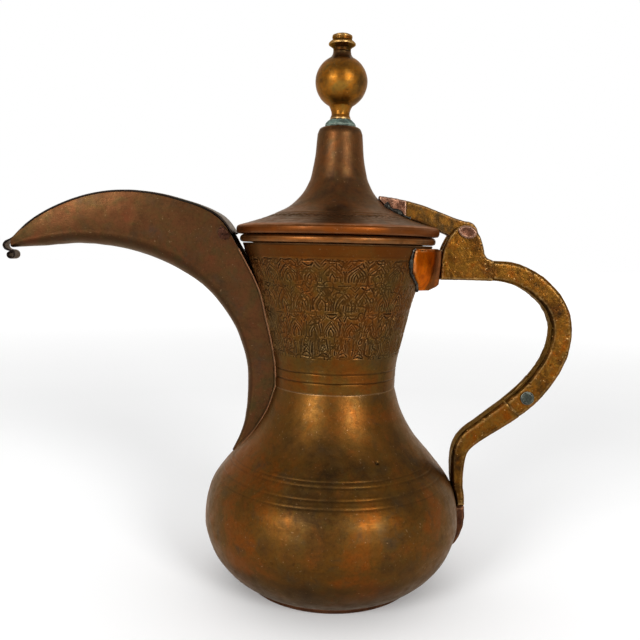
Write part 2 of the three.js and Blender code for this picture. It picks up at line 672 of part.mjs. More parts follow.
function finialCollar() {
  return turned([
    [STUD_BORE, COLLAR_BOTTOM], [DOME_NECK_RADIUS - 2.2, COLLAR_BOTTOM],
    [DOME_NECK_RADIUS - 2.2, COLLAR_BOTTOM + 1.6], [KNOP_NECK_RADIUS + 1.2, COLLAR_TOP],
    [STUD_BORE, COLLAR_TOP],
  ], SMALL_SEGMENTS);
}

function finialKnop() {
  const ball = [];
  for (let i = 1; i < 10; i += 1) {
    const angle = -Math.PI / 2 + Math.PI * i / 10;
    const radius = KNOP_BALL_RADIUS * Math.cos(angle);
    if (radius > KNOP_NECK_RADIUS) ball.push([radius, BALL_CENTRE + KNOP_BALL_RADIUS * Math.sin(angle)]);
  }
  return turned([
    [STUD_BORE, KNOP_BOTTOM], [KNOP_NECK_RADIUS + 1.4, KNOP_BOTTOM], [KNOP_NECK_RADIUS, KNOP_BOTTOM + 2],
    [KNOP_NECK_RADIUS, KNOP_BOTTOM + KNOP_LOWER_NECK], ...ball,
    [KNOP_NECK_RADIUS, KNOP_TOP - 0.6], [KNOP_NECK_RADIUS, KNOP_TOP], [STUD_BORE, KNOP_TOP],
  ], SMALL_SEGMENTS + 8);
}

function finialCap() {
  const flange = CAP_BOTTOM + 0.36 * FINIAL_CAP_HEIGHT;
  const neck = KNOP_NECK_RADIUS - 0.2;
  return turned([
    [STUD_BORE, CAP_BOTTOM], [neck, CAP_BOTTOM], [neck, flange - 1], [neck + 1.7, flange],
    [neck + 1.7, flange + 1.2], [neck + 0.4, flange + 2.4], [neck + 0.4, CAP_TOP - 0.9],
    [neck - 0.6, CAP_TOP],
    [0, CAP_TOP], [0, STUD_TOP + JOINT_GAP], [STUD_BORE, STUD_TOP + JOINT_GAP],
  ], SMALL_SEGMENTS);
}

const WASHER_TOP = DOME_TOP - WALL - JOINT_GAP;
const WASHER_BOTTOM = WASHER_TOP - 1;

function studWasher() {
  const outer = DOME_NECK_RADIUS - WALL - 1.6;
  return turned([
    [STUD_BORE, WASHER_BOTTOM], [outer, WASHER_BOTTOM], [outer, WASHER_TOP], [STUD_BORE, WASHER_TOP],
  ], SMALL_SEGMENTS);
}

function finialStud() {
  const head = WASHER_BOTTOM - JOINT_GAP;
  return turned([
    [0, head - 2], [2.2, head - 2], [3.6, head - 0.9], [3.6, head], [STUD_RADIUS, head],
    [STUD_RADIUS, STUD_TOP], [0, STUD_TOP],
  ], SMALL_SEGMENTS);
}

const ARM_FOOT_X = 21.4;
const ARM_SLOPE_TOP = [[ARM_FOOT_X, PIN_Z + 15.9], [PIN_X - 28, PIN_Z + 13.6], [PIN_X - 6, PIN_Z + 7.5]];

// The side view of the lid's arm: a bar that rises over the rim and ends in a round knuckle.
function armOutline(grow) {
  const radius = ARM_KNUCKLE_RADIUS + grow;
  const knuckle = [];
  for (let i = 0; i <= 10; i += 1) {
    const angle = THREE.MathUtils.degToRad(lerp(96, -128, i / 10));
    knuckle.push([PIN_X + radius * Math.cos(angle), PIN_Z + radius * Math.sin(angle)]);
  }
  const top = ARM_SLOPE_TOP.map(([x, z], i) => [x - (i === 0 ? grow : 0), z + grow]);
  const under = [[PIN_X - 9.5, PIN_Z - 0.6 - grow], [PIN_X - 22.8, PIN_Z + 5.6 - grow],
    [PIN_X - 29.6, PIN_Z + 7.4 - grow], [ARM_FOOT_X - grow, PIN_Z + 10.6 - grow]];
  return [...top, ...knuckle, ...under];
}

function hingeArm() {
  return plate(armOutline(0), ARM_WIDTH, 0.6)
    .subtract(pinHole(PIN_RADIUS + PIN_PLAY))
    .subtract(domeClearance(JOINT_GAP));
}

function armClearance(gap) {
  return plate(armOutline(gap), ARM_WIDTH + 2 * gap);
}

const SHEATH_END = PIN_X - 30;

// A copper sheath folded over the foot of the arm.
function armSheath() {
  const wall = ARM_SHEATH_WALL + JOINT_GAP;
  const foot = block([0, -40, PIN_Z], [SHEATH_END, 40, DOME_TOP]);
  return plate(armOutline(wall), ARM_WIDTH + 2 * wall, 0.5)
    .subtract(armClearance(JOINT_GAP))
    .intersect(foot)
    .subtract(domeClearance(JOINT_GAP));
}

// Solder run under the arm between the sheath and the rim of the lid.
function armSolder() {
  const left = SHEATH_END - 1.6;
  const right = SHEATH_END + 4.4;
  const domeHeight = (x) => {
    const i = domeOutline.findIndex(([r]) => r <= x);
    return domeOutline[i][1] + 1;
  };
  const outline = [[left, domeHeight(left) - 6], [right, domeHeight(right) - 6],
    [right + 0.6, domeHeight(right) + 0.9], [lerp(left, right, 0.6), domeHeight(left) + 1.8],
    [left, domeHeight(left) + 3]];
  const wall = ARM_SHEATH_WALL + 2 * JOINT_GAP;
  const half = ARM_WIDTH / 2 + wall;
  const sheath = block([0, -half, PIN_Z], [SHEATH_END + JOINT_GAP, half, DOME_TOP]);
  return plate(outline, ARM_WIDTH + 1.6, 0.5)
    .subtract(sheath)
    .subtract(armClearance(JOINT_GAP))
    .subtract(domeClearance(JOINT_GAP));
}

// ---------------------------------------------------------------- materials and assembly

const metal = (color, roughness, metalness = 0.9) => (
  new THREE.MeshStandardMaterial({ color, roughness, metalness })
);
const COPPER_AGED = () => metal(0x6b3f1f, 0.42);
const COPPER_DARK = () => metal(0x4a2418, 0.5);
const COPPER_BRIGHT = () => metal(0xb5651d, 0.38);
const BRASS = () => metal(0x8a6420, 0.45);
const VERDIGRIS = () => metal(0x5f8577, 0.85, 0.3);
const SOLDER = () => metal(0x4c4a44, 0.6, 0.7);

const pot = new THREE.Group();
const lid = new THREE.Group();
const dallah = new THREE.Group();
dallah.add(pot, lid);

function place(group, name, solid, material) {
  const mesh = new THREE.Mesh(toGeometry(solid), material);
  mesh.name = name;
  group.add(mesh);
}

place(pot, 'base_disc', baseDisc(), COPPER_DARK());
place(pot, 'belly_shell', bellyShell(), COPPER_AGED());
place(pot, 'neck_shell', neckShell(), COPPER_AGED());
place(pot, 'spout_trough', spoutTrough(), COPPER_AGED());
place(pot, 'spout_cover', spoutCover(), COPPER_DARK());
place(pot, 'spout_patch', spoutPatch(), COPPER_DARK());
place(pot, 'handle_socket', handleSocket(), COPPER_BRIGHT());
place(pot, 'socket_solder', socketSolder(), SOLDER());
place(pot, 'handle_upper', handleUpper(), BRASS());
place(pot, 'handle_lower', handleLower(), BRASS());
place(
  pot, 'handle_rivet',
  headedRod(RIVET_RADIUS, RIVET_HEAD_RADIUS, RIVET_HEAD_HEIGHT, HANDLE_WIDTH, RIVET.x, RIVET.y),
  SOLDER(),
);
place(pot, 'handle_shoe', handleShoe(), COPPER_DARK());
place(
  pot, 'hinge_pin',
  headedRod(PIN_RADIUS, PIN_HEAD_RADIUS, PIN_HEAD_HEIGHT, HEAD_WIDTH, PIN_X, PIN_Z),
  COPPER_DARK(),
);

place(lid, 'lid_dome', lidDome(), COPPER_AGED());
place(lid, 'lid_ring', lidRing(), BRASS());
place(lid, 'lid_collar', lidCollar(), COPPER_DARK());
place(lid, 'finial_collar', finialCollar(), VERDIGRIS());
place(lid, 'finial_knop', finialKnop(), BRASS());
place(lid, 'finial_cap', finialCap(), BRASS());
place(lid, 'finial_stud', finialStud(), COPPER_DARK());
place(lid, 'stud_washer', studWasher(), COPPER_DARK());
place(lid, 'hinge_arm', hingeArm(), BRASS());
place(lid, 'arm_sheath', armSheath(), COPPER_DARK());
place(lid, 'arm_solder', armSolder(), SOLDER());

export default dallah;
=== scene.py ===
import math
from itertools import product

import bmesh
import bpy
import numpy as np
from mathutils import Matrix, Vector


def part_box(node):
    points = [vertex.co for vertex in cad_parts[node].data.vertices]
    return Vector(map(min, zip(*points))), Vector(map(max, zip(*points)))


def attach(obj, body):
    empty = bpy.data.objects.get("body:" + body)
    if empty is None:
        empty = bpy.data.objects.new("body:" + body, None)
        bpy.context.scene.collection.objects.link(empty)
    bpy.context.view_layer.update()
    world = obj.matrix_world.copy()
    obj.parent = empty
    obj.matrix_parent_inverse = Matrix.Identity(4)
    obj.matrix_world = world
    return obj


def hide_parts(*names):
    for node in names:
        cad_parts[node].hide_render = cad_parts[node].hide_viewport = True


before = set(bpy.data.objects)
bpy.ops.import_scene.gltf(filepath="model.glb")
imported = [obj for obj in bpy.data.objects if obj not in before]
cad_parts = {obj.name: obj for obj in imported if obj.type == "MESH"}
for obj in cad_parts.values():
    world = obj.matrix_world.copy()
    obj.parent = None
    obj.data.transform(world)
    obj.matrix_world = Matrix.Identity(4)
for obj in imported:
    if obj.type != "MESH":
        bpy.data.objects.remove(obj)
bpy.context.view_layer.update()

MM = 0.001

# -------- sizes, in millimetres


def node_box(name):
    low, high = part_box(name)
    return np.array(low) / MM, np.array(high) / MM


BELLY = node_box("belly_shell")
NECK = node_box("neck_shell")
BASE = node_box("base_disc")
DOME = node_box("lid_dome")
RING = node_box("lid_ring")
COLLAR = node_box("finial_collar")
KNOP = node_box("finial_knop")
CAP = node_box("finial_cap")
PIN = node_box("hinge_pin")
HEAD = node_box("handle_upper")
RIVET = node_box("handle_rivet")

WALL = 1.2
BASE_RADIUS = BASE[1][0] + 1.3
BELLY_RADIUS = BELLY[1][0]
MOUTH_RADIUS = NECK[1][0]
MOUTH_HEIGHT = NECK[1][2]
WAIST_HEIGHT = (BELLY[1][2] + NECK[0][2]) / 2
WAIST_RADIUS = 30.4
SEAM = 0.05  # half the gap where the belly meets the neck
BELLY_MIDDLE = 34.0
LID_RADIUS = DOME[1][0]
LID_BOTTOM = DOME[0][2]
BEAD_TOP = LID_BOTTOM + 4.3
DOME_TOP = DOME[1][2]
DOME_NECK_RADIUS = 10.7
PIN_X = (PIN[0][0] + PIN[1][0]) / 2
PIN_Z = (PIN[0][2] + PIN[1][2]) / 2
HANDLE_HALF = node_box("handle_lower")[1][1]

# -------- numeric helpers


def spline(points, count):
    """Uniform Catmull-Rom through points, the ends repeated."""
    p = np.array(points, float)
    t = np.linspace(0, len(p) - 1, count)
    i = np.minimum(t.astype(int), len(p) - 2)
    w = (t - i)[:, None]
    a, b = p[np.maximum(i - 1, 0)], p[i]
    c, d = p[i + 1], p[np.minimum(i + 2, len(p) - 1)]
    v0, v1 = (c - a) / 2, (d - b) / 2
    return (2 * b - 2 * c + v0 + v1) * w ** 3 + (-3 * b + 3 * c - 2 * v0 - v1) * w ** 2 + v0 * w + b


def shares(start, end, pairs):
    """Points at shares of the way from start to end, sideways and upwards."""
    return [(start[0] + (end[0] - start[0]) * u, start[1] + (end[1] - start[1]) * v) for u, v in pairs]


def tangents(path):
    step = np.gradient(path, axis=0)
    return step / np.linalg.norm(step, axis=1)[:, None]


def offset(path, distance):
    """The path moved sideways, to the right of its direction."""
    step = tangents(path)
    return path + np.stack([step[:, 1], -step[:, 0]], 1) * distance


def lengths(path):
    """How far along a path each of its points lies."""
    return np.concatenate([[0], np.cumsum(np.linalg.norm(np.diff(path, axis=0), axis=1))])


def resample(path, step):
    """Points about step apart along a path, its corners kept near."""
    path = np.asarray(path, float)
    along = lengths(path)
    at = np.linspace(0, along[-1], max(int(round(along[-1] / step)), 1) + 1)
    return np.stack([np.interp(at, along, path[:, k]) for k in range(path.shape[1])], 1)


def clamp(value):
    return np.clip(value, 0, 1)


def hash3(i, j, k, seed):
    """A repeatable random number from -1 to 1 for a whole-numbered place."""
    n = (i * 374761393 + j * 668265263 + k * 2147483647 + seed * 1274126177) & 0xFFFFFFFF
    n = ((n ^ (n >> 13)) * 1274126177) & 0xFFFFFFFF
    n = ((n ^ (n >> 16)) * 2246822519) & 0xFFFFFFFF
    return (n ^ (n >> 15)) / 0xFFFFFFFF * 2 - 1


def noise3(points, size, seed=0):
    """Smooth noise from -1 to 1 with features of the given size."""
    p = np.asarray(points, float) / size
    f = np.floor(p)
    w = p - f
    w = w * w * (3 - 2 * w)
    i, j, k = (f[..., a].astype(np.int64) for a in range(3))
    total = 0
    for corner in product((0, 1), repeat=3):
        weight = 1
        for axis, far in enumerate(corner):
            weight = weight * (w[..., axis] if far else 1 - w[..., axis])
        total = total + weight * hash3(i + corner[0], j + corner[1], k + corner[2], seed)
    return total


def layered(points, size, octaves=3, seed=0):
    """Noise in several layers, each half the size and strength of the one before."""
    total = 0
    for n in range(octaves):
        total = total + noise3(points, size / 2 ** n, seed + n) / 2 ** n
    return total / (2 - 2 ** (1 - octaves))


def pits(points, cell, seed, share=0.5, radius=0.35):
    """Round pits from 0 to 1, at most one to a cell of a coarse grid."""
    p = np.asarray(points, float) / cell
    f = np.floor(p).astype(np.int64)
    best = np.zeros(p.shape[:-1])
    for step in product((-1, 0, 1), repeat=3):
        place = [f[..., axis] + step[axis] for axis in range(3)]
        centre = np.stack([place[axis] + 0.5 + 0.4 * hash3(*place, seed + axis) for axis in range(3)], -1)
        size = radius * (0.6 + 0.4 * hash3(*place, seed + 3))
        keep = hash3(*place, seed + 4) < share * 2 - 1
        d = np.linalg.norm(p - centre, axis=-1) / size
        best = np.maximum(best, np.where(keep, clamp(1 - d * d), 0))
    return best


# -------- mesh helpers


def new_object(name, data):
    obj = bpy.data.objects.new(name, data)
    bpy.context.scene.collection.objects.link(obj)
    return obj


def read_points(mesh):
    """The places and the normals of a mesh's vertices."""
    values = []
    for key in ("co", "normal"):
        flat = np.zeros(len(mesh.vertices) * 3, np.float32)
        mesh.vertices.foreach_get(key, flat)
        values.append(flat.reshape(-1, 3).astype(float))
    return values


def set_points(mesh, co):
    mesh.vertices.foreach_set("co", co.astype(np.float32).ravel())


def store(mesh, name, values):
    layer = mesh.attributes.new(name, "FLOAT", "POINT")
    layer.data.foreach_set("value", np.asarray(values, np.float32).ravel())


def fix_normals(mesh, weld=False):
    bm = bmesh.new()
    bm.from_mesh(mesh)
    if weld:
        bmesh.ops.remove_doubles(bm, verts=bm.verts, dist=1e-7)
    bmesh.ops.recalc_face_normals(bm, faces=bm.faces)
    bm.to_mesh(mesh)
    bm.free()


def add_curvature(mesh):
    """Stores how sharply each vertex is raised (+) or sunk (-), per millimetre, as the attribute edge."""
    co, no = read_points(mesh)
    co, count = co / MM, len(co)
    pairs = np.zeros(len(mesh.edges) * 2, np.int32)
    mesh.edges.foreach_get("vertices", pairs)
    a, b = pairs.reshape(-1, 2).T
    away = co[a] - co[b]
    square = np.maximum(np.sum(away * away, axis=1), 1e-4)
    number = np.maximum(np.bincount(a, minlength=count) + np.bincount(b, minlength=count), 1)
    bend = np.bincount(a, 2 * np.sum(away * no[a], axis=1) / square, count)
    bend += np.bincount(b, -2 * np.sum(away * no[b], axis=1) / square, count)
    bend = np.clip(bend / number, -3, 3)
    for _ in range(2):
        bend = (bend + (np.bincount(a, bend[b], count) + np.bincount(b, bend[a], count)) / number) / 2
    store(mesh, "edge", bend)


# the angle, in degrees, from which an edge is sharp, on a turned piece and on one of folded sheet
TURNED, SHEET = 38, 50


def make_object(name, verts, faces, body, look, node=None, marks=None, sharp=SHEET):
    """A piece from vertices in millimetres and four-sided faces. marks says how dark each vertex is, from
    grime and painted shade.
    """
    mesh = bpy.data.meshes.new(name)
    verts = np.asarray(verts, np.float32) * MM
    mesh.vertices.add(len(verts))
    set_points(mesh, verts)
    faces = np.asarray(faces, np.int32)
    mesh.loops.add(faces.size)
    mesh.loops.foreach_set("vertex_index", faces.ravel())
    mesh.polygons.add(len(faces))
    mesh.polygons.foreach_set("loop_start", np.arange(0, faces.size, 4, dtype=np.int32))
    mesh.polygons.foreach_set("use_smooth", np.ones(len(faces), bool))
    mesh.update(calc_edges=True)
    mesh.validate()
    if marks is not None:
        store(mesh, "grime_and_shade", marks)
    finish(new_object(name, mesh), body, look, node)
    if sharp == SHEET:
        # only bars drawn without marks may lose vertices, because marks go by vertex
        fix_normals(mesh, weld=marks is None)
    mesh.set_sharp_from_angle(angle=math.radians(sharp))


def finish(obj, body, look, node):
    """Gives a piece its material, says what it rides on and hides the node it stands for."""
    material, slot = look
    obj.data.materials.clear()
    obj.data.materials.append(material)
    add_curvature(obj.data)
    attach(obj, body)
    if node:
        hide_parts(node)


def grid_faces(rows, cols, close_rows, close_cols, flip=False):
    """The four-sided faces of a grid of vertices."""
    i = np.arange(rows if close_rows else rows - 1)
    j = np.arange(cols if close_cols else cols - 1)
    a, b = np.meshgrid(i, j, indexing="ij")
    c, d = (a + 1) % rows, (b + 1) % cols
    quads = np.stack([a * cols + b, c * cols + b, c * cols + d, a * cols + d], -1).reshape(-1, 4)
    return quads[:, ::-1] if flip else quads


def lathe(name, profile, columns, body, look, node, surface):
    """A closed profile turned about the z axis.

    surface(theta, r, z, points) gives how far each point moves out and how dark it is, from grime and painted
    shade.
    """
    profile = np.asarray(profile, float)
    theta = np.linspace(0, 2 * np.pi, columns, endpoint=False)[:, None]
    step = np.roll(profile, -1, 0) - np.roll(profile, 1, 0)
    step /= np.maximum(np.linalg.norm(step, axis=1), 1e-9)[:, None]
    r, z = (np.repeat(profile[None, :, k], columns, 0) for k in (0, 1))
    points = np.stack([r * np.cos(theta), r * np.sin(theta), z], -1)
    move, marks = surface(np.broadcast_to(theta, r.shape), r, z, points)
    r, z = r + step[None, :, 1] * move, z - step[None, :, 0] * move
    points = np.stack([r * np.cos(theta), r * np.sin(theta), z], -1).reshape(-1, 3)
    make_object(name, points, grid_faces(*r.shape, True, True), body, look, node, marks, TURNED)

# -------- materials


class Nodes:
    """A small helper for writing node trees in a few words."""

    def __init__(self, owner, shader="BsdfPrincipled", output="OutputMaterial"):
        owner.use_nodes = True
        self.owner, self.tree = owner, owner.node_tree
        self.tree.nodes.clear()
        self.shader = self.node(shader)
        self.link(self.shader.outputs[0], self.node(output).inputs[0])
        self.coordinates = self.node("TexCoord").outputs
        self.place = self.coordinates["Object"]

    def node(self, kind):
        return self.tree.nodes.new("ShaderNode" + kind)

    def fed(self, kind, **sources):
        """A new node with its inputs linked or set."""
        node = self.node(kind)
        for name, source in sources.items():
            self.link(source, node.inputs[name])
        return node

    def link(self, source, socket):
        if isinstance(source, (int, float)):
            socket.default_value = source
        elif isinstance(source, tuple):
            socket.default_value = (*source, 1.0)
        else:
            self.tree.links.new(source, socket)

    def noise(self, size, detail=4, rough=0.55, warp=0.0, stretch=(1, 1, 1)):
        mapping = self.node("Mapping")
        mapping.inputs["Scale"].default_value = [s / (size * MM) for s in stretch]
        self.link(self.place, mapping.inputs["Vector"])
        return self.fed("TexNoise", Vector=mapping.outputs[0], Scale=1.0, Detail=detail, Roughness=rough,
                        Distortion=warp).outputs["Fac"]

    def ramp(self, value, stops):
        node = self.node("ValToRGB")
        elements = node.color_ramp.elements
        while len(elements) < len(stops):
            elements.new(0.5)
        for element, (at, colour) in zip(elements, stops):
            element.position = at
            element.color = (*colour, 1) if isinstance(colour, tuple) else (colour, colour, colour, 1)
        self.link(value, node.inputs["Fac"])
        return node.outputs["Color"]

    def mix(self, share, a, b, mode="MIX"):
        node = self.node("Mix")
        node.data_type = "RGBA"
        node.blend_type = mode
        self.link(share, node.inputs[0])
        self.link(a, node.inputs[6])
        self.link(b, node.inputs[7])
        return node.outputs[2]

    def math(self, operation, a, b):
        node = self.node("Math")
        node.operation = operation
        self.link(a, node.inputs[0])
        self.link(b, node.inputs[1])
        return node.outputs[0]

    def part(self, vector, axis):
        return self.fed("SeparateXYZ", Vector=vector).outputs[axis]

    def attribute(self, name):
        node = self.node("Attribute")
        node.attribute_name = name
        return node.outputs["Fac"]

    def bump(self, height, distance):
        return self.fed("Bump", Strength=1.0, Distance=distance * MM, Height=height).outputs["Normal"]


def thousandths(colour):
    return tuple(part / 1000 for part in colour)


def patina(name, slot, blotches, tints, dirt, worn, rough, blotch=26, tint=7, bump=0.05, grain=0.9,
           metallic=0.95, scratches=True, edge=(0.545, 0.72), zones=(), specks=0.35, rim=(900, 760, 640)):
    """Aged metal and its slot: broad blotches, smaller tints, dirt in hollows, wear on raised edges.

    Colours are linear, in thousandths, and sizes are in millimetres. edge says where wear on a bend
    starts and is full. A zone is a lowest and a highest level, a colour and its share there.
    """
    n = Nodes(bpy.data.materials.new(name))
    blotches, tints = ([(at, thousandths(c)) for at, c in stops] for stops in (blotches, tints))
    dirt, worn, rim = (thousandths(c) for c in (dirt, worn, rim))
    middle = n.noise(tint, 5, 0.62, 0.8)
    colour = n.ramp(n.noise(blotch, 5, 0.6, 0.6), blotches)
    tinted = n.ramp(n.noise(tint * 1.7, 3, 0.5), tints)
    colour = n.mix(n.ramp(middle, [(0.42, 0.0), (0.68, 0.75)]), colour, tinted)
    speckle = n.ramp(n.noise(grain * 1.6, 4, 0.7), [(0.3, 0.55), (0.5, 1.0), (0.75, 1.12)])
    colour = n.mix(0.55, colour, speckle, "MULTIPLY")
    for low, high, tint_there, share in zones:
        height = n.math("DIVIDE", n.part(n.place, "Z"), MM)
        level = n.math("DIVIDE", n.math("SUBTRACT", height, low), high - low)
        inside = n.ramp(level, [(0.0, 0.0), (0.06, 1.0), (0.94, 1.0), (1.0, 0.0)])
        uneven = n.ramp(n.noise(tint * 2.2, 3, 0.5), [(0.35, share * 0.35), (0.6, share)])
        colour = n.mix(n.math("MULTIPLY", inside, uneven), colour, thousandths(tint_there))
    bend = n.math("ADD", n.math("MULTIPLY", n.attribute("edge"), 0.25), 0.5)
    # this attribute holds grime and, on some pieces, painted shade; both darken the colour towards dirt and
    # hold back the wear
    grime = n.attribute("grime_and_shade")
    colour = n.mix(n.ramp(bend, [(0.28, 0.85), (0.465, 0.0)]), colour, dirt)
    colour = n.mix(n.ramp(grime, [(0.0, 0.0), (1.0, 0.85)]), colour, dirt)
    raised = n.ramp(bend, [(edge[0], 0.0), (edge[1], 1.0)])
    wear = n.math("MULTIPLY", raised, n.ramp(middle, [(0.3, 0.35), (0.6, 1.0)]))
    wear = n.math("MULTIPLY", wear, n.ramp(grime, [(0.2, 1.0), (0.8, 0.0)]))
    colour = n.mix(wear, colour, worn)
    dots = n.ramp(n.noise(1.1, 2, 0.5), [(0.68, 0.0), (0.74, specks)])
    dots = n.math("MULTIPLY", dots, n.ramp(middle, [(0.4, 0.2), (0.6, 1.0)]))
    colour = n.mix(dots, colour, worn)
    roughness = n.ramp(n.noise(tint * 0.8, 5, 0.65), [(0.3, rough[0]), (0.7, rough[1])])
    if scratches:
        lines = n.ramp(n.noise(0.5, 2, 0.5, 0.0, (0.09, 0.09, 1.0)), [(0.60, 0.0), (0.72, 0.5)])
        roughness = n.mix(lines, roughness, (rough[0] * 0.6,) * 3)
    inputs = n.shader.inputs
    n.link(colour, inputs["Base Color"])
    n.link(roughness, inputs["Roughness"])
    n.link(metallic, inputs["Metallic"])
    n.link(rim, inputs["Specular Tint"])
    n.link(n.bump(n.mix(0.35, n.noise(grain, 3, 0.6), middle), bump), inputs["Normal"])
    return n.owner, slot


# the zones paint light and shade: the belly darker below 24 mm, a painted shade, and lighter and redder from
# 70 mm up, painted light
COPPER = patina(
    "copper_aged", "copper_aged",
    [(0.32, (36, 18, 6)), (0.43, (68, 29, 6)), (0.52, (90, 36, 5)), (0.62, (135, 38, 4))],
    [(0.3, (42, 28, 14)), (0.5, (82, 42, 8)), (0.7, (150, 40, 6))], (11, 6, 2), (300, 170, 80), (0.32, 0.52),
    tint=6, specks=0.6,
    zones=[(-60, 24, (28, 14, 5), 0.75), (-60, 12, (24, 12, 5), 0.6), (70, 120, (115, 50, 10), 0.35)])
COPPER_LID = patina(
    "copper_lid", "copper_aged",
    [(0.32, (40, 20, 10)), (0.46, (75, 30, 10)), (0.58, (110, 38, 10)), (0.70, (60, 34, 18))],
    [(0.3, (48, 32, 22)), (0.5, (80, 42, 14)), (0.7, (120, 36, 10))], (12, 6, 2), (340, 180, 90),
    (0.36, 0.52), tint=6, specks=0.5, zones=[(LID_BOTTOM - 1, BEAD_TOP + 0.6, (200, 46, 4), 0.9)])
COPPER_NECK = patina(
    "copper_engraved", "copper_aged",
    [(0.30, (46, 24, 6)), (0.45, (78, 33, 5)), (0.58, (105, 30, 3)), (0.72, (60, 31, 6))],
    [(0.3, (50, 34, 13)), (0.5, (80, 46, 8)), (0.7, (120, 34, 4))], (11, 6, 2), (250, 155, 70), (0.31, 0.47),
    bump=0.03, edge=(0.555, 0.93), zones=[(164.0, 171.0, (70, 18, 2), 0.8), (158.0, 172.0, (84, 22, 2), 0.5)])
COPPER_SPOUT = patina(
    "copper_spout", "copper_aged",
    [(0.32, (32, 18, 8)), (0.45, (56, 23, 8)), (0.56, (68, 25, 9)), (0.68, (42, 28, 9))],
    [(0.3, (34, 24, 17)), (0.5, (54, 31, 9)), (0.7, (88, 24, 9))], (12, 7, 4), (200, 120, 60), (0.32, 0.48),
    blotch=24, specks=0.5, edge=(0.57, 0.92))
# the strip's dark colours are partly its own dark patina and partly painted shade along its edge
STRIP = patina(
    "copper_strip", "copper_dark", [(0.3, (20, 14, 11)), (0.48, (48, 36, 30)), (0.64, (60, 72, 55))],
    [(0.3, (30, 20, 17)), (0.6, (85, 74, 66))], (8, 5, 4), (140, 110, 80), (0.34, 0.52), blotch=14, tint=4)
COPPER_DARK = patina(
    "copper_dark", "copper_dark", [(0.3, (20, 9, 6)), (0.5, (44, 15, 7)), (0.7, (72, 25, 10))],
    [(0.3, (22, 14, 11)), (0.6, (80, 30, 14))], (10, 6, 5), (260, 120, 60), (0.36, 0.54), blotch=14, tint=4,
    rim=(660, 460, 320))
COPPER_PINK = patina(
    "copper_pink", "copper_dark", [(0.32, (34, 13, 7)), (0.5, (90, 35, 18)), (0.68, (190, 88, 52))],
    [(0.3, (26, 13, 10)), (0.6, (150, 64, 37))], (10, 6, 5), (360, 210, 140), (0.36, 0.52), blotch=5,
    tint=2.2, bump=0.08, edge=(0.52, 0.66))
COPPER_BRIGHT = patina(
    "copper_bright", "copper_bright",
    [(0.32, (200, 36, 1)), (0.46, (440, 92, 1)), (0.6, (540, 120, 2)), (0.7, (340, 90, 4))],
    [(0.3, (160, 48, 6)), (0.6, (500, 100, 2))], (78, 36, 17), (600, 270, 100), (0.32, 0.46), blotch=9,
    tint=3.5, bump=0.04, rim=(850, 500, 250))
BRASS = patina(
    "brass_cast", "brass",
    [(0.34, (20, 9, 3)), (0.45, (58, 23, 3)), (0.55, (116, 50, 6)), (0.66, (125, 32, 2))],
    [(0.3, (30, 16, 5)), (0.5, (115, 35, 3)), (0.7, (80, 44, 10))], (10, 6, 2), (420, 250, 90), (0.30, 0.48),
    blotch=10, tint=3.4, bump=0.2, grain=0.8, edge=(0.54, 0.68), specks=1.0, rim=(820, 600, 380))
BRASS_DULL = patina(
    "brass_dull", "brass",
    [(0.36, (30, 17, 6)), (0.48, (80, 34, 6)), (0.58, (140, 60, 8)), (0.7, (100, 50, 12))],
    [(0.35, (30, 20, 9)), (0.5, (90, 45, 10)), (0.65, (150, 48, 5))], (14, 8, 4), (360, 220, 100),
    (0.34, 0.50), blotch=6, tint=2.6, bump=0.14)
BRASS_RED = patina(
    "brass_reddened", "brass", [(0.3, (70, 26, 6)), (0.5, (140, 45, 8)), (0.7, (200, 56, 8))],
    [(0.35, (60, 32, 12)), (0.65, (170, 46, 5))], (12, 7, 3), (380, 200, 90), (0.32, 0.48), blotch=12,
    tint=4.0, bump=0.06)
BRASS_BALL = patina(
    "brass_turned", "brass",
    [(0.34, (60, 26, 5)), (0.46, (150, 56, 6)), (0.56, (230, 78, 6)), (0.68, (170, 90, 14))],
    [(0.35, (60, 34, 9)), (0.65, (200, 85, 10))], (20, 14, 11), (480, 310, 130), (0.30, 0.46), blotch=9,
    tint=2.8, bump=0.07)
COPPER_CRUST = patina(
    "copper_crust", "copper_dark", [(0.3, (18, 7, 4)), (0.5, (36, 13, 7)), (0.7, (56, 18, 9))],
    [(0.3, (18, 10, 8)), (0.6, (60, 22, 12))], (8, 5, 4), (120, 60, 35), (0.36, 0.54), blotch=8, tint=2.4,
    edge=(0.66, 0.99), specks=0.1)
VERDIGRIS = patina(
    "verdigris", "verdigris", [(0.3, (30, 55, 45)), (0.5, (70, 125, 105)), (0.7, (150, 220, 190))],
    [(0.3, (30, 32, 24)), (0.6, (100, 160, 140))], (12, 12, 8), (220, 260, 210), (0.65, 0.9), blotch=3,
    tint=1.4, bump=0.2, metallic=0.2, scratches=False)
SOLDER = patina(
    "solder_grey", "solder", [(0.3, (10, 8, 7)), (0.5, (22, 19, 16)), (0.7, (50, 52, 44))],
    [(0.3, (10, 8, 8)), (0.6, (45, 55, 46))], (5, 4, 4), (260, 240, 210), (0.36, 0.58), blotch=4, tint=1.6,
    bump=0.15, metallic=0.8, edge=(0.80, 0.99))
RIVET_GREY = patina(
    "rivet_grey", "solder", [(0.3, (12, 13, 11)), (0.5, (26, 29, 24)), (0.7, (48, 54, 44))],
    [(0.3, (12, 12, 10)), (0.6, (44, 50, 38))], (6, 5, 4), (170, 180, 150), (0.36, 0.55), blotch=4, tint=1.6,
    bump=0.12)

# -------- body outline

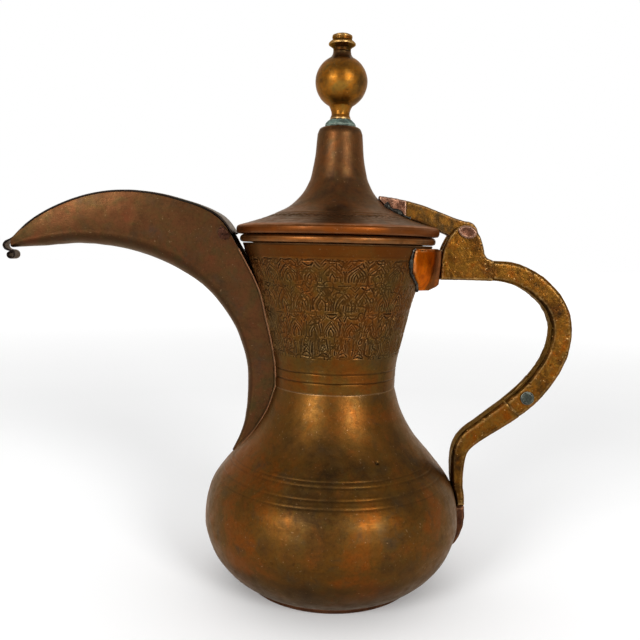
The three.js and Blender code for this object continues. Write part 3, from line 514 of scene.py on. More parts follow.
FOOT = (BASE_RADIUS + 1.2, BELLY[0][2])
WIDEST = (BELLY_RADIUS, BELLY_MIDDLE)
WAIST = (WAIST_RADIUS, WAIST_HEIGHT)
MOUTH = (MOUTH_RADIUS, MOUTH_HEIGHT)
BELLY_POINTS = (
    shares(FOOT, WIDEST, [(0, 0), (0.17, 0.045), (0.49, 0.22), (0.79, 0.48), (0.97, 0.8)])
    + shares(WIDEST, WAIST, [(0, 0), (0.03, 0.14), (0.13, 0.28), (0.395, 0.455), (0.695, 0.636),
                             (0.893, 0.818)])
    + [WAIST]
)
NECK_POINTS = shares(WAIST, MOUTH, [
    (0, 0), (0.04, 0.17), (0.19, 0.34), (0.3, 0.456), (0.415, 0.57), (0.585, 0.712), (0.79, 0.855), (1, 1),
])
BELLY_LINE = spline(BELLY_POINTS, 400)
NECK_LINE = spline(NECK_POINTS, 400)
BODY_LINE = np.concatenate([BELLY_LINE, NECK_LINE[1:]])


def body_radius(z):
    """The pot's outer radius at a height."""
    return np.interp(z, BODY_LINE[:, 1], BODY_LINE[:, 0])


def groove(z, centre, width):
    return np.exp(-((z - centre) / width) ** 2)


def turned_line(z, centre, width, beside):
    """A scribed line, its metal raised a little beside it."""
    return groove(z, centre, width) - 0.45 * groove(z, centre + beside, 0.35)


SHOULDER_LINES = (54.9, 58.3, 62.8, 64.8)
WAIST_LINES = (105.2, 109.6)
PINHOLE_HEIGHT = 71.2
PINHOLE_SHARES = (0.443, -0.8965)  # its x and y as shares of the radius there


def belly_surface(theta, r, z, points):
    """Turned lines, a planished unevenness, small dents, a pinhole and painted shade towards the foot."""
    outer = r > body_radius(z) - 0.4
    wobble = 0.12 * noise3(points, 24, 3)
    lines = 0
    for height in SHOULDER_LINES:
        place = height + wobble + 0.15 * np.sin(theta * 2 + height)
        lines = lines + turned_line(z, place, 0.30, 0.75)
    dents = 0.16 * layered(points, 15, 3, 11) + 0.05 * layered(points, 4.5, 2, 17)
    small = pits(points, 5, 23, 0.22, 0.16)
    radius = float(body_radius(PINHOLE_HEIGHT))
    pinhole = np.array([radius * share for share in PINHOLE_SHARES] + [PINHOLE_HEIGHT])
    hole = np.exp(-(np.linalg.norm(points - pinhole, axis=-1) / 0.75) ** 2)
    worn_off = 0.55 + 0.45 * noise3(points, 13, 27)
    move = np.where(outer, dents - 0.22 * worn_off * lines - 0.10 * small - 0.9 * hole, 0.0)
    # painted shade: darker towards the foot
    foot = 0.55 * clamp((19 - z) / 17)
    marks = clamp(lines) * 0.55 * worn_off + small * 0.5 + 2 * hole + foot
    return move, np.where(outer, marks, 0.5)


def belly_profile():
    outer = resample(BELLY_LINE, 0.5)
    outer[-1] = (WAIST_RADIUS, WAIST_HEIGHT - SEAM)
    inner = offset(resample(BELLY_LINE, 3.0), -WALL)
    inner[0] = (FOOT[0] - 1.5, FOOT[1] + WALL)
    inner[-1] = (WAIST_RADIUS - WALL, WAIST_HEIGHT - SEAM)
    hole = BASE_RADIUS - WALL - 0.8
    return np.concatenate([outer, inner[::-1], [(hole, FOOT[1] + WALL), (hole, FOOT[1])]])


lathe("belly", belly_profile(), 400, "pot", COPPER, "belly_shell", belly_surface)

# -------- chased neck

REPEATS = 25
REPEAT_WIDTH = 11.3
CHASED_LOW, CHASED_HIGH = 116.4, 165.2


def arch(half_width, height, base, steps=6):
    """A pointed arch as a chain of points, from one foot over the top to the other."""
    t = np.linspace(0, 1, steps)
    x = half_width * (1 - t ** 2.2) * (1 + 0.25 * np.sin(np.pi * t))
    right = np.stack([x, base + height * t], 1)
    return np.concatenate([right, right[::-1][1:] * [-1, 1]])


def arc(cx, cy, half_width, sag, steps=5):
    t = np.linspace(-1, 1, steps)
    return np.stack([cx + half_width * t, cy + sag * (1 - t * t)], 1)


def ring(cx, cy, radius, steps=7):
    t = np.linspace(0, 2 * np.pi, steps + 1)
    return np.stack([cx + radius * np.cos(t), cy + radius * np.sin(t)], 1)


def both(x0, y0, x1, y1, bow=0.0):
    """A short bowed stroke and its mirror image."""
    middle = ((x0 + x1) / 2 + bow, (y0 + y1) / 2)
    one = np.array([(x0, y0), middle, (x1, y1)], float)
    return [one, one * [-1, 1]]


def stroke(x0, y0, x1, y1):
    return np.array([(x0, y0), (x1, y1)], float)


def eye_mark(y, side=1):
    """A straight cut with a crescent beside it."""
    return [stroke(-3.0, y, 3.0, y), arc(0, y - 0.5 * side, 2.5, -1.25 * side)]


# Each tier: its lowest and highest level and the strokes of one repeat, in millimetres from
# the middle of the repeat and from the tier's foot.
TIERS = [
    (152.8, 163.8, eye_mark(9.8)
        + [arch(4.3, 7.2, 0.4), arch(3.2, 5.8, 0.5), arch(2.1, 4.4, 0.6), arch(1.0, 2.9, 0.8)]
        + both(3.4, 9.6, 5.6, 7.4) + both(4.6, 9.8, 5.7, 8.6) + both(4.4, 7.4, 5.6, 5.4, 0.3)
        + both(5.0, 4.6, 5.2, 0.6, 0.2) + both(3.0, 8.4, 4.2, 7.0)),
    (139.4, 152.4, eye_mark(12.2)
        + [arch(3.8, 8.8, 0.4), arch(2.8, 7.2, 0.5), arch(1.8, 5.4, 0.6), stroke(0, 0.8, 0, 3.8)]
        + both(3.2, 11.2, 5.2, 9.0) + both(4.4, 11.4, 5.5, 10.2) + both(4.2, 8.6, 5.3, 6.6, 0.3)
        + both(4.5, 6.0, 4.7, 0.6, 0.25) + both(5.3, 5.2, 5.4, 0.8) + [ring(0, 9.9, 0.55)]),
    (127.6, 138.8, eye_mark(10.6) + [arch(3.4, 7.4, 0.2), arch(2.3, 5.8, 0.3), arch(1.2, 4.0, 0.4)]
        + both(3.2, 9.8, 4.7, 7.6) + both(4.2, 10.2, 5.0, 9.0) + both(3.9, 7.0, 4.2, 0.6, 0.3)
        + both(4.7, 6.2, 4.8, 0.8)),
    (117.4, 127.2, [ring(0, 8.2, 1.0), ring(0, 5.6, 0.7), arc(0, 1.2, 2.6, 1.3)]
        + [stroke(-2.9, 0.8, 2.9, 0.8), arch(1.4, 3.0, 2.2)] + both(2.0, 9.0, 2.2, 3.4, 0.3)
        + both(3.0, 8.6, 3.2, 2.6, 0.3) + both(3.9, 7.4, 4.0, 2.2) + both(1.2, 7.0, 1.9, 4.6)),
]


def chain_distance(x, y, chain):
    """How far each point lies from a chain of strokes, at most 9 mm."""
    nearest = np.full(x.shape, 9.0)
    for a, b in zip(chain[:-1], chain[1:]):
        dx, dy = b - a
        along = clamp(((x - a[0]) * dx + (y - a[1]) * dy) / (dx * dx + dy * dy + 1e-9))
        nearest = np.minimum(nearest, np.hypot(x - a[0] - along * dx, y - a[1] - along * dy))
    return nearest


def chased(theta, r, z, points):
    """The cut depth of the chased tiers and the burr beside the cuts, each from 0 to 1."""
    cut, burr = np.zeros((2, *theta.shape))
    skin = r > body_radius(z) - 0.3
    for index, (low, high, strokes) in enumerate(TIERS):
        rows = np.where((z[0] > low - 1.2) & (z[0] < high + 1.2) & skin[0])[0]
        span = slice(rows[0], rows[-1] + 1)
        near, level = points[:, span], z[:, span] - low
        turn = theta[:, span] / (2 * np.pi) * REPEATS + 0.5 * (index % 2)
        tile = np.floor(turn).astype(np.int64)
        zero = np.zeros_like(tile)
        width = 2 * np.pi * r[:, span] / REPEATS
        x = (turn - tile - 0.5) * width * (REPEAT_WIDTH / np.mean(width)) ** 0.7
        x = x + 0.45 * hash3(tile, zero + index, zero, 5) + 0.45 * noise3(near, 3.2, 31)
        y = level + 0.40 * hash3(tile, zero + index, zero, 6) + 0.45 * noise3(near, 3.2, 37)
        for number, chain in enumerate(strokes):
            # each stroke is struck a little harder or softer, aside, askew and up or down
            weight, shift, lean, lift = (
                size * hash3(tile, zero + number, zero + index, seed)
                for size, seed in ((0.30, 9), (0.38, 12), (0.13, 15), (0.30, 18)))
            weight = 0.70 + weight
            nearest = chain_distance(x + shift + lean * (y - chain[:, 1].mean()), y + lift, chain)
            cut[:, span] = np.maximum(cut[:, span], weight * np.exp(-(nearest / 0.31) ** 2))
            burr[:, span] = np.maximum(burr[:, span], weight * np.exp(-((nearest - 0.62) / 0.24) ** 2))
    zone = (z > CHASED_LOW + 0.5) & (z < CHASED_HIGH - 1.6) & skin
    fine = points[zone] * [1, 1, 0.75]
    stray = np.exp(-(noise3(fine, 2.2, 151) / 0.15) ** 2) * clamp(0.75 + 1.2 * noise3(fine, 5, 153))
    other = np.exp(-(noise3(fine, 1.7, 157) / 0.15) ** 2) * clamp(0.60 + 1.2 * noise3(fine, 4, 159))
    worn_off = np.clip(0.92 + 0.45 * noise3(fine, 8, 161), 0.45, 1)
    cut[zone] = np.maximum(cut[zone] * worn_off, 0.72 * np.maximum(stray, other))
    grains = 0.7 * clamp(noise3(fine, 1.2, 163) - 0.45) * 2
    burr[zone] = np.maximum(burr[zone] * worn_off, grains)
    return cut, burr * (1 - cut)


def neck_surface(theta, r, z, points):
    """The chased tiers, the two lines at the waist and the border above."""
    outer = r > body_radius(z) - 0.3
    cut, burr = chased(theta, r, z, points)
    lines = sum(turned_line(z, height + 0.12 * np.sin(theta + height), 0.28, 0.7) for height in WAIST_LINES)
    border = 0.5 * groove(z, CHASED_HIGH - 0.6, 0.25)
    dents = 0.10 * layered(points, 14, 3, 41) + 0.035 * layered(points, 2.6, 2, 47)
    move = dents - 0.36 * cut + 0.12 * burr - 0.22 * lines - 0.1 * border
    marks = clamp(0.85 * cut - 0.3 * burr + 0.7 * clamp(lines) + 0.4 * border)
    return np.where(outer, move, 0.0), np.where(outer, marks, 0.5)


def neck_profile():
    """The neck's section, in fine steps where it is chased."""
    level = NECK_LINE[:, 1]
    outer = np.concatenate([resample(NECK_LINE[level < CHASED_LOW], 0.4),
                            resample(NECK_LINE[(level >= CHASED_LOW) & (level < CHASED_HIGH)], 0.25),
                            resample(NECK_LINE[level >= CHASED_HIGH], 0.5)])
    outer[0] = (WAIST_RADIUS, WAIST_HEIGHT + SEAM)
    outer[-1] = (MOUTH_RADIUS, MOUTH_HEIGHT - 0.45)
    lip = [(MOUTH_RADIUS - 0.25, MOUTH_HEIGHT - 0.05), (MOUTH_RADIUS - 0.6, MOUTH_HEIGHT),
           (MOUTH_RADIUS - WALL, MOUTH_HEIGHT - 0.1)]
    inner = offset(resample(NECK_LINE, 4.0), -WALL)
    inner[0] = (WAIST_RADIUS - WALL, WAIST_HEIGHT + SEAM)
    return np.concatenate([outer, lip, inner[::-1][1:]])


lathe("neck", neck_profile(), 960, "pot", COPPER_NECK, "neck_shell", neck_surface)

# -------- base


def base_surface(theta, r, z, points):
    move = np.where(z < 0.2, 0.0, 0.10 * layered(points, 9, 2, 53))
    return move, 0.4 * clamp(noise3(points, 5, 57))


def base_profile():
    radius, top, inner = BASE_RADIUS, BASE[1][2], WALL + 0.3
    return resample([(0.01, 0.0), (30, 0.0), (radius - 1.0, 0.0), (radius - 0.3, 0.25), (radius, 0.9),
                     (radius - 0.1, top - 0.3), (radius - 0.5, top), (radius - WALL, top),
                     (radius - WALL, inner), (0.01, inner)], 0.9)


lathe("base", base_profile(), 200, "pot", COPPER_DARK, "base_disc", base_surface)

# -------- lid

DOME_POINTS = shares((LID_RADIUS - 1.2, BEAD_TOP), (DOME_NECK_RADIUS, DOME_TOP), [
    (0, 0), (0.287, 0.07), (0.472, 0.13), (0.65, 0.205), (0.804, 0.325), (0.89, 0.445), (0.925, 0.53),
    (0.965, 0.7), (0.985, 0.86), (1, 1),
])
DOME_LINE = spline(DOME_POINTS, 300)
DOME_RINGS = [(38.2, 1), (31.8, 1), (41.0, 0.6), (44.6, 0.5)]
BAND_RADIUS = 35.0


def dome_surface(theta, r, z, points):
    """Scribed rings, a band of chased scrolls and a rim pitted by age."""
    outer = z > np.interp(-r, -DOME_LINE[:, 0], DOME_LINE[:, 1]) - 0.5
    band = np.exp(-((r - BAND_RADIUS) / 2.3) ** 4) * outer
    lines = sum(depth * groove(r, radius, 0.28) for radius, depth in DOME_RINGS)
    across = (r - BAND_RADIUS) + 0.5 * noise3(points, 2.4, 63)
    around = theta * 33 + 0.5 * noise3(points, 3.0, 65)
    scroll = np.sin(around) * 1.5
    bead = np.hypot(across, 2.2 * (np.mod(around, np.pi) - np.pi / 2))
    chase = np.maximum(groove(across, scroll, 0.34), groove(across, -0.7 * scroll, 0.3))
    chase = np.maximum(chase, groove(bead, 0.9, 0.3)) * band
    dents = 0.13 * layered(points, 11, 3, 61) + 0.03 * layered(points, 3, 2, 67)
    rim = np.exp(-((r - 40.5) / 5.5) ** 4) * outer
    crumbs = clamp(noise3(points, 1.5, 69) - 0.1) * rim + 0.5 * clamp(noise3(points, 0.9, 70)) * rim
    move = dents - 0.2 * lines - 0.32 * chase - 0.14 * crumbs
    marks = clamp(0.55 * lines + 0.75 * chase + 0.6 * crumbs + 0.18 * rim)
    return np.where(outer, move, 0.0), np.where(outer, marks, 0.4)


def dome_profile():
    """From the turned-under edge, round the bead, up the dome and back inside."""
    rim = spline([(LID_RADIUS - inward, height) for inward, height in [
        (4.4, LID_BOTTOM), (1.6, LID_BOTTOM), (0.5, LID_BOTTOM + 0.35), (0, LID_BOTTOM + 1.5),
        (0, LID_BOTTOM + 2.9), (0.5, BEAD_TOP - 0.4)]], 26)
    outer = resample(DOME_LINE, 0.45)
    outer = outer[outer[:, 1] < DOME_TOP - 3.0]
    round_top = [(DOME_NECK_RADIUS - inward, DOME_TOP - below) for inward, below in [
        (0.15, 1.9), (0.45, 1.1), (0.9, 0.45), (1.6, 0)]] + [(2.0, DOME_TOP), (2.0, DOME_TOP - WALL)]
    inner = offset(resample(DOME_LINE, 2.2), -WALL)
    inner = inner[(inner[:, 1] > LID_BOTTOM + 0.4) & (inner[:, 1] < DOME_TOP - WALL)]
    return np.concatenate([rim, outer[1:], round_top, inner[::-1], [(LID_RADIUS - 4.4, LID_BOTTOM + 1.2)]])


lathe("lid_cover", dome_profile(), 300, "lid", COPPER_LID, "lid_dome", dome_surface)


def ring_surface(theta, r, z, points):
    return 0.10 * layered(points, 7, 3, 71), 0.5 * clamp(noise3(points, 3, 73))


def ring_profile():
    low, high, outer = RING[0][2], RING[1][2], RING[1][0]
    inner = MOUTH_RADIUS - 4.6
    path = [(inner, low), (outer - 1.3, low), (outer - 0.4, low + 0.35), (outer, low + 1.1),
            (outer, high - 1.3), (outer - 0.5, high - 0.5), (outer - 1.2, high), (inner, high)]
    return resample(path + [path[0]], 0.5)[:-1]


lathe("lid_band", ring_profile(), 260, "lid", BRASS_RED, "lid_ring", ring_surface)

# -------- finial


def worn_surface(theta, r, z, points):
    small = pits(points, 2.4, 83, 0.4, 0.2)
    return 0.13 * layered(points, 4.2, 3, 79) - 0.10 * small, 0.5 * small


KNOP_LOW, KNOP_HIGH, KNOP_RADIUS = KNOP[0][2], KNOP[1][2], KNOP[1][0]
CAP_LOW, CAP_HIGH = CAP[0][2], CAP[1][2]
STUD_HOLE = 1.95
NECK_LENGTH = 5.6


def knop_profile():
    """A slightly flattened ball between two flared necks."""
    low, neck = KNOP_LOW, 4.4
    centre, wide = low + NECK_LENGTH + KNOP_RADIUS, KNOP_RADIUS * 1.03
    start = math.asin((neck + 1.4) / wide)
    angle = -math.pi / 2 + start + (math.pi - 2 * start) * np.arange(33) / 32
    ball = np.stack([wide * np.cos(angle), centre + wide * np.sin(angle)], 1)
    top = centre + wide * math.cos(start)
    return resample(np.concatenate([
        [(STUD_HOLE, low), (neck + 0.7, low), (neck + 0.6, low + 0.8), (neck, low + 2.2),
         (neck + 0.1, low + 3.8), (neck + 0.6, low + 5.2)], ball,
        [(neck + 0.6, top + 0.9), (neck + 0.1, top + 1.9), (neck, KNOP_HIGH), (STUD_HOLE, KNOP_HIGH)]]), 0.4)


def grimed(theta, r, z, points):
    """The ball, its upper neck dull with old grime."""
    move, marks = worn_surface(theta, r, z, points)
    edge = KNOP_LOW + NECK_LENGTH + 1.72 * KNOP_RADIUS + 1.6 * noise3(points, 3.5, 85)
    return move, np.maximum(marks, 0.85 * clamp((z - edge) / 2.4))


def grimed_tip(theta, r, z, points):
    """The cap, its foot dull with old grime."""
    move, marks = worn_surface(theta, r, z, points)
    edge = CAP_LOW + 0.34 * (CAP_HIGH - CAP_LOW)
    return move, np.maximum(marks, 0.85 * clamp((edge - z) / 0.8))


def cap_profile():
    low, high, neck = CAP_LOW, CAP_HIGH, 4.2
    flange = low + 0.36 * (high - low)
    path = [(STUD_HOLE, low), (neck + 0.1, low)]
    path += [(neck + out, flange + up) for out, up in [
        (0.1, -1.5), (1.1, -0.6), (2.3, 0.2), (2.35, 0.9), (1.6, 1.7), (0.6, 2.2), (0.55, 2.8)]]
    path += [(neck + 0.75, high - 1.2), (neck + 0.6, high - 0.5), (neck - 0.4, high), (0.01, high - 0.3),
             (0.01, low + 1)]
    return resample(path, 0.25)


lathe("finial_ball", knop_profile(), 96, "lid", BRASS_BALL, "finial_knop", grimed)
lathe("finial_tip", cap_profile(), 72, "lid", BRASS, "finial_cap", grimed_tip)


def crust_surface(theta, r, z, points):
    return 0.55 * layered(points, 2.2, 3, 91), clamp(-layered(points, 1.6, 2, 93))


def collar_profile():
    low, high, radius = COLLAR[0][2], COLLAR[1][2], COLLAR[1][0]
    return resample([(STUD_HOLE, low), (radius - 0.4, low), (radius, low + 0.9), (radius - 0.6, low + 1.8),
                     (6.0, high - 0.6), (5.2, high), (STUD_HOLE, high)], 0.25)


lathe("finial_crust", collar_profile(), 90, "lid", VERDIGRIS, "finial_collar", crust_surface)

# -------- spout

TIP_X = -(MOUTH_RADIUS + 116.8)
SPOUT_HALF_WIDTH = 13.4
SPOUT_FOOT = 63
LID_LIMIT = LID_RADIUS + 0.9


def beak_x(share):
    """A place along the beak, from the mouth to the tip."""
    return -MOUTH_RADIUS + (TIP_X + MOUTH_RADIUS) * share


def rise(share):
    """A height along the pot, from the spout's foot to the mouth."""
    return SPOUT_FOOT + (MOUTH_HEIGHT - SPOUT_FOOT) * share


def outside(share, extra):
    """A place by the pot's wall on the spout's side, some way outside it."""
    return -(float(body_radius(rise(share))) + extra)


# the places where the spout's top edge and keel run, first up the pot and then out along the beak
SPOUT_TOP = [(outside(0, -6), rise(0) - 3)]
SPOUT_TOP += [(outside(share, extra), rise(share)) for share, extra in [
    (0.12, -5), (0.24, -4), (0.36, -3), (0.5, -3), (0.65, -3), (0.8, -3)]]
SPOUT_TOP += [(outside(0.96, 0.5), rise(0.97))]
SPOUT_TOP += [(beak_x(share), MOUTH_HEIGHT + above) for share, above in [
    (0.065, 10.5), (0.14, 16.4), (0.235, 20), (0.34, 22.8), (0.46, 24), (0.58, 23), (0.7, 19.4),
    (0.81, 13.9), (0.9, 7.4), (0.98, -0.6)]]
SPOUT_KEEL = [(outside(share, extra), rise(share)) for share, extra in [
    (0, 0.5), (0.12, 5.6), (0.22, 9.6), (0.34, 12.8)]]
SPOUT_KEEL += [(outside(0.47, 13.2), rise(0.455))]
SPOUT_KEEL += [(beak_x(share), rise(level)) for share, level in [
    (0.018, 0.585), (0.076, 0.69), (0.152, 0.785), (0.237, 0.85)]]
SPOUT_KEEL += [(beak_x(share), MOUTH_HEIGHT + above) for share, above in [
    (0.318, -11.2), (0.407, -7.2), (0.5, -4.3), (0.595, -2.8), (0.69, -2.3), (0.775, -2.9),
    (0.85, -3.8), (0.91, -4.4), (0.955, -4.8), (0.982, -5.1)]]
SPOUT_WIDTHS = [(0, 0.13), (0.1, 0.4), (0.2, 0.58), (0.32, 0.76), (0.45, 0.98), (0.55, 1), (0.7, 0.86),
                (0.85, 0.62), (1, 0.37)]
EDGE_DROP = 1.55
CREASE = 0.76


def spout_limit(z):
    """How near the axis the spout's wall may come at a height."""
    below = body_radius(z) - 0.55
    rim = np.interp(z, [MOUTH_HEIGHT - 1.8, MOUTH_HEIGHT + 0.3, MOUTH_HEIGHT + 4], [46.2, 49.1, LID_LIMIT])
    return np.where(z < MOUTH_HEIGHT - 1.8, below, rim)


def half_width_share(angle):
    """The spout's half width at an angle round its section: nearly flat sides, then a crease and the keel."""
    depth = np.sin(angle)
    side = 1 - 0.17 * (depth / CREASE) ** 2.2
    under = 0.83 * np.sqrt(clamp(1 - ((depth - CREASE) / (1 - CREASE)) ** 2)) ** 1.15
    return np.where(depth < CREASE, side, under)


def spout_wall(grow, stations=260, steps=44):
    """Points of the spout's skin, moved out by grow and ended on the body and under the cover."""
    top, keel = spline(SPOUT_TOP, stations), spline(SPOUT_KEEL, stations)
    half = spline(SPOUT_WIDTHS, stations)[:, 1] * SPOUT_HALF_WIDTH + grow
    deep = keel - top
    unit = deep / np.linalg.norm(deep, axis=1)[:, None]
    quarter = np.linspace(0, np.pi / 2, 400)

    def section(i, angle):
        line = top[i] + (deep[i] + unit[i] * grow) * np.sin(angle)[:, None]
        return np.stack([line[:, 0], -half[i] * half_width_share(angle), line[:, 1]], 1)

    rows = []
    for i in range(stations):
        x, y, z = section(i, quarter).T
        depth = (np.stack([x, z], 1) - top[i]) @ unit[i]
        free = (np.hypot(x, y) > spout_limit(z)) & (depth > EDGE_DROP) & (x < 0)
        start = int(np.argmax(free)) if free.any() else len(quarter) - 2
        side = section(i, np.linspace(quarter[start], np.pi / 2, steps))
        rows.append(np.concatenate([side, side[::-1][1:] * [1, -1, 1]]))
    return np.array(rows)


def push_out(points, amount):
    """Moves a grid of points along its own normals."""
    normal = np.cross(np.gradient(points, axis=0), np.gradient(points, axis=1))
    normal /= np.maximum(np.linalg.norm(normal, axis=-1), 1e-9)[..., None]
    return points + normal * amount[..., None]


def spout():
    """The trough: a dented outer skin and a plain inner one, joined round their edges."""
    outer, inner = spout_wall(0.0), spout_wall(-1.1)
    fade = np.ones(outer.shape[:2])
    facing = (push_out(outer, fade) - outer)[outer.shape[0] // 2, outer.shape[1] // 2]
    fade[:, :2] = fade[:, -2:] = 0
    dents = (0.22 * layered(outer, 16, 3, 101) + 0.07 * layered(outer, 4, 2, 107)) * fade
    # the keel faces away from the pot and down
    outer = push_out(outer, dents * np.sign(-facing[0] - facing[2]))
    outer, inner = outer[3:-3], inner[3:-3]
    rows, cols = outer.shape[:2]
    count = rows * cols
    faces = [grid_faces(rows, cols, False, False), grid_faces(rows, cols, False, False, True) + count]
    index = np.arange(count).reshape(rows, cols)
    for edge, flip in ((index[:, 0], False), (index[:, -1], True), (index[0], True), (index[-1], False)):
        a, b = edge[:-1], edge[1:]
        quad = np.stack([a, b, b + count, a + count], 1)
        faces.append(quad[:, ::-1] if flip else quad)
    # painted shade: a strip along the keel, on the underside, is darkened; the small pits are grime
    aside = np.abs(np.arange(cols) - (cols - 1) / 2) / ((cols - 1) / 2)
    under = clamp((0.42 - aside) / 0.06)
    marks = 0.42 * under * (0.8 + 0.2 * noise3(outer, 8, 119)) + 0.5 * pits(outer, 6, 121, 0.2, 0.14)
    make_object("spout", np.concatenate([outer, inner]).reshape(-1, 3), np.concatenate(faces), "pot",
                COPPER_SPOUT, "spout_trough", np.concatenate([marks.ravel(), np.full(count, 0.5)]))


spout()


def tube(path, radius, sides=10, wide=None, tall=None):
    """A closed bar about a path. wide and tall give its section's directions, or None for round."""
    path = np.asarray(path, float)
    if wide is None:
        step = tangents(path)
        wide = np.cross(step, [0.31, 0.87, 0.38])
        wide /= np.linalg.norm(wide, axis=1)[:, None]
        tall = np.cross(step, wide)
    radius = radius[:, None, None].copy()
    radius[[0, -1]] *= 0.15
    a = np.linspace(0, 2 * np.pi, sides, endpoint=False)[None, :, None]
    return path[:, None] + radius * (np.cos(a) * wide[:, None] + np.sin(a) * tall[:, None])


def solid_of(tubes):
    """Vertices and faces of one or more tubes, capped."""
    verts, faces, base = [], [], 0
    for rings in tubes:
        rows, cols = rings.shape[:2]
        flat = rings.reshape(-1, 3)
        j = np.arange(cols)
        following = (j + 1) % cols
        last = (rows - 1) * cols
        centre = np.full(cols, rows * cols)
        start = np.stack([centre, j, following, following], 1)
        end = np.stack([centre + 1, last + following, last + j, last + j], 1)
        verts.append(np.concatenate([flat, [flat[:cols].mean(0), flat[-cols:].mean(0)]]))
        faces.append(np.concatenate([grid_faces(rows, cols, False, True), start, end]) + base)
        base += rows * cols + 2
    return np.concatenate(verts), np.concatenate(faces)


def turned_about_z(points, distance):
    """Points slid round the pot by a distance along its surface, away from the spout's middle."""
    radius = np.hypot(points[:, 0], points[:, 1])
    angle = np.arctan2(points[:, 1], points[:, 0]) + np.sign(points[:, 1]) * -distance / radius
    return np.stack([radius * np.cos(angle), radius * np.sin(angle), points[:, 2]], 1)


def spout_flange():
    """The edge of the spout's sheet, turned out flat on the pot, and the solder along it."""
    seam = spout_wall(0.0, 200, 4)[:, 0]
    seam = seam[(seam[:, 2] > 66) & (seam[:, 2] < MOUTH_HEIGHT - 2.5)]
    strips, beads = [], []
    for side in (1, -1):
        path = seam * [1, side, 1]
        radial = path * [1, 1, 0]
        radial /= np.linalg.norm(radial, axis=1)[:, None]
        across = turned_about_z(path, 1.0) - path
        across /= np.linalg.norm(across, axis=1)[:, None]
        strips.append(tube(turned_about_z(path, 1.0) + radial * 0.5, 1.45 + 0.25 * noise3(path, 9, 131), 12,
                           across, radial * 0.42))
        size = np.clip(0.42 + 0.25 * noise3(path, 2.2, 137), 0.12, 0.8)
        beads.append(tube(turned_about_z(path, 2.6) + radial * 0.3, size, 8, across, radial))
    for name, look, tubes in (("spout_edge", COPPER_SPOUT, strips), ("spout_braze", COPPER_DARK, beads)):
        make_object(name, *solid_of(tubes), "pot", look)


spout_flange()


def cover_strip():
    """A strip on top of the spout, bent down at the tip and rolled into an eye."""
    top = spline(SPOUT_TOP, 700)
    keep = top[:, 0] < -(LID_LIMIT - 0.6)
    widths = (spline(SPOUT_WIDTHS, 700)[:, 1] * SPOUT_HALF_WIDTH)[keep]
    middle = offset(top[keep], -0.8)
    end = middle[-1]
    hook = spline([middle[-8]] + [end + step for step in (
        (0, 0.3), (-3.0, -1.0), (-4.0, -2.8), (-3.0, -4.6), (-0.9, -5.3))], 40)[10:]
    centre = hook[-1] + np.array([0.3, -2.05])
    turn = np.linspace(np.pi / 2 - 0.1, np.pi / 2 - 6.9, 52)
    radius = np.linspace(2.10, 1.25, 52)
    roll = centre + np.stack([np.cos(turn) * radius, np.sin(turn) * radius], 1)
    path = resample(np.concatenate([middle[:-8], hook, roll]), 0.5)
    left = lengths(path)
    left = left[-1] - left
    half = np.interp(-path[:, 0], -middle[:, 0], widths + 0.65)
    half = 3.7 + (half - 3.7) * clamp((left - 18) / 14) ** 0.8
    thick = np.interp(left, [0, 22, 34], [0.42, 0.5, 0.72])
    around = np.linspace(0, 2 * np.pi, 28, endpoint=False)
    cx, cz = (np.sign(c) * np.abs(c) ** power for c, power in ((np.cos(around), 0.35), (np.sin(around), 0.6)))
    normal = offset(path, -1.0) - path
    line = path[:, None] + normal[:, None] * (thick[:, None] * cz)[..., None]
    points = np.stack([line[..., 0], half[:, None] * cx, line[..., 1]], -1)
    points[..., 2] += 0.12 * layered(points, 9, 2, 113)
    verts, faces = solid_of([points])
    # painted shade inside the rolled eye
    rolled = np.hypot(verts[:, 0] - centre[0], verts[:, 2] - centre[1])
    make_object("spout_strip", verts, faces, "pot", STRIP, "spout_cover", clamp((1.75 - rolled) / 0.3))


cover_strip()

# -------- cast and folded pieces


def cast(name, node, body, look, voxel, rounds, lumps, lump_size, pit, pit_cell, seed, share=0.45,
         shape=None, solid=None, shade=None, swell=None):
    """A solid remade as a cast or hammered piece: rounded, uneven and pitted.

    solid takes the place of the node's own form. shape(co) moves the points, shade(co, no) says how dark
    they are, from grime and from painted shade, and swell(co) how much they move sideways out.
    """
    if solid is None:
        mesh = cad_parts[node].data.copy()
        mesh.transform(Matrix.Scale(1 / MM, 4))
    else:
        mesh = bpy.data.meshes.new(name)
        mesh.from_pydata(solid[0].tolist(), [], [tuple(dict.fromkeys(face)) for face in solid[1].tolist()])
        fix_normals(mesh)
    obj = new_object(name, mesh)
    remesh = obj.modifiers.new("remesh", "REMESH")
    remesh.mode = "VOXEL"
    remesh.voxel_size = voxel
    smooth = obj.modifiers.new("smooth", "SMOOTH")
    smooth.factor = 0.5
    smooth.iterations = rounds
    bpy.context.view_layer.update()
    mesh = bpy.data.meshes.new_from_object(obj.evaluated_get(bpy.context.evaluated_depsgraph_get()))
    obj.modifiers.clear()
    obj.data = mesh
    co, no = read_points(mesh)
    hollow = np.maximum(pits(co, pit_cell, seed, share, 0.34),
                        0.6 * pits(co, pit_cell * 0.55, seed + 5, share, 0.36))
    move = lumps * layered(co, lump_size, 3, seed + 9) - pit * hollow
    if shape:
        co = shape(co)
        set_points(mesh, co)
        mesh.update()
        no = read_points(mesh)[1]
    store(mesh, "grime_and_shade", np.maximum(hollow * 0.6, shade(co, no)) if shade else hollow * 0.6)
    if swell:
        co = co + no * [1, 0, 1] * swell(co)[:, None]
    set_points(mesh, (co + no * move[:, None]) * MM)
    mesh.polygons.foreach_set("use_smooth", np.ones(len(mesh.polygons), bool))
    mesh.update()
    finish(obj, body, look, node)


def shifted(co, axis, amount):
    """The points moved along one axis."""
    moved = co.copy()
    moved[:, axis] += amount
    return moved


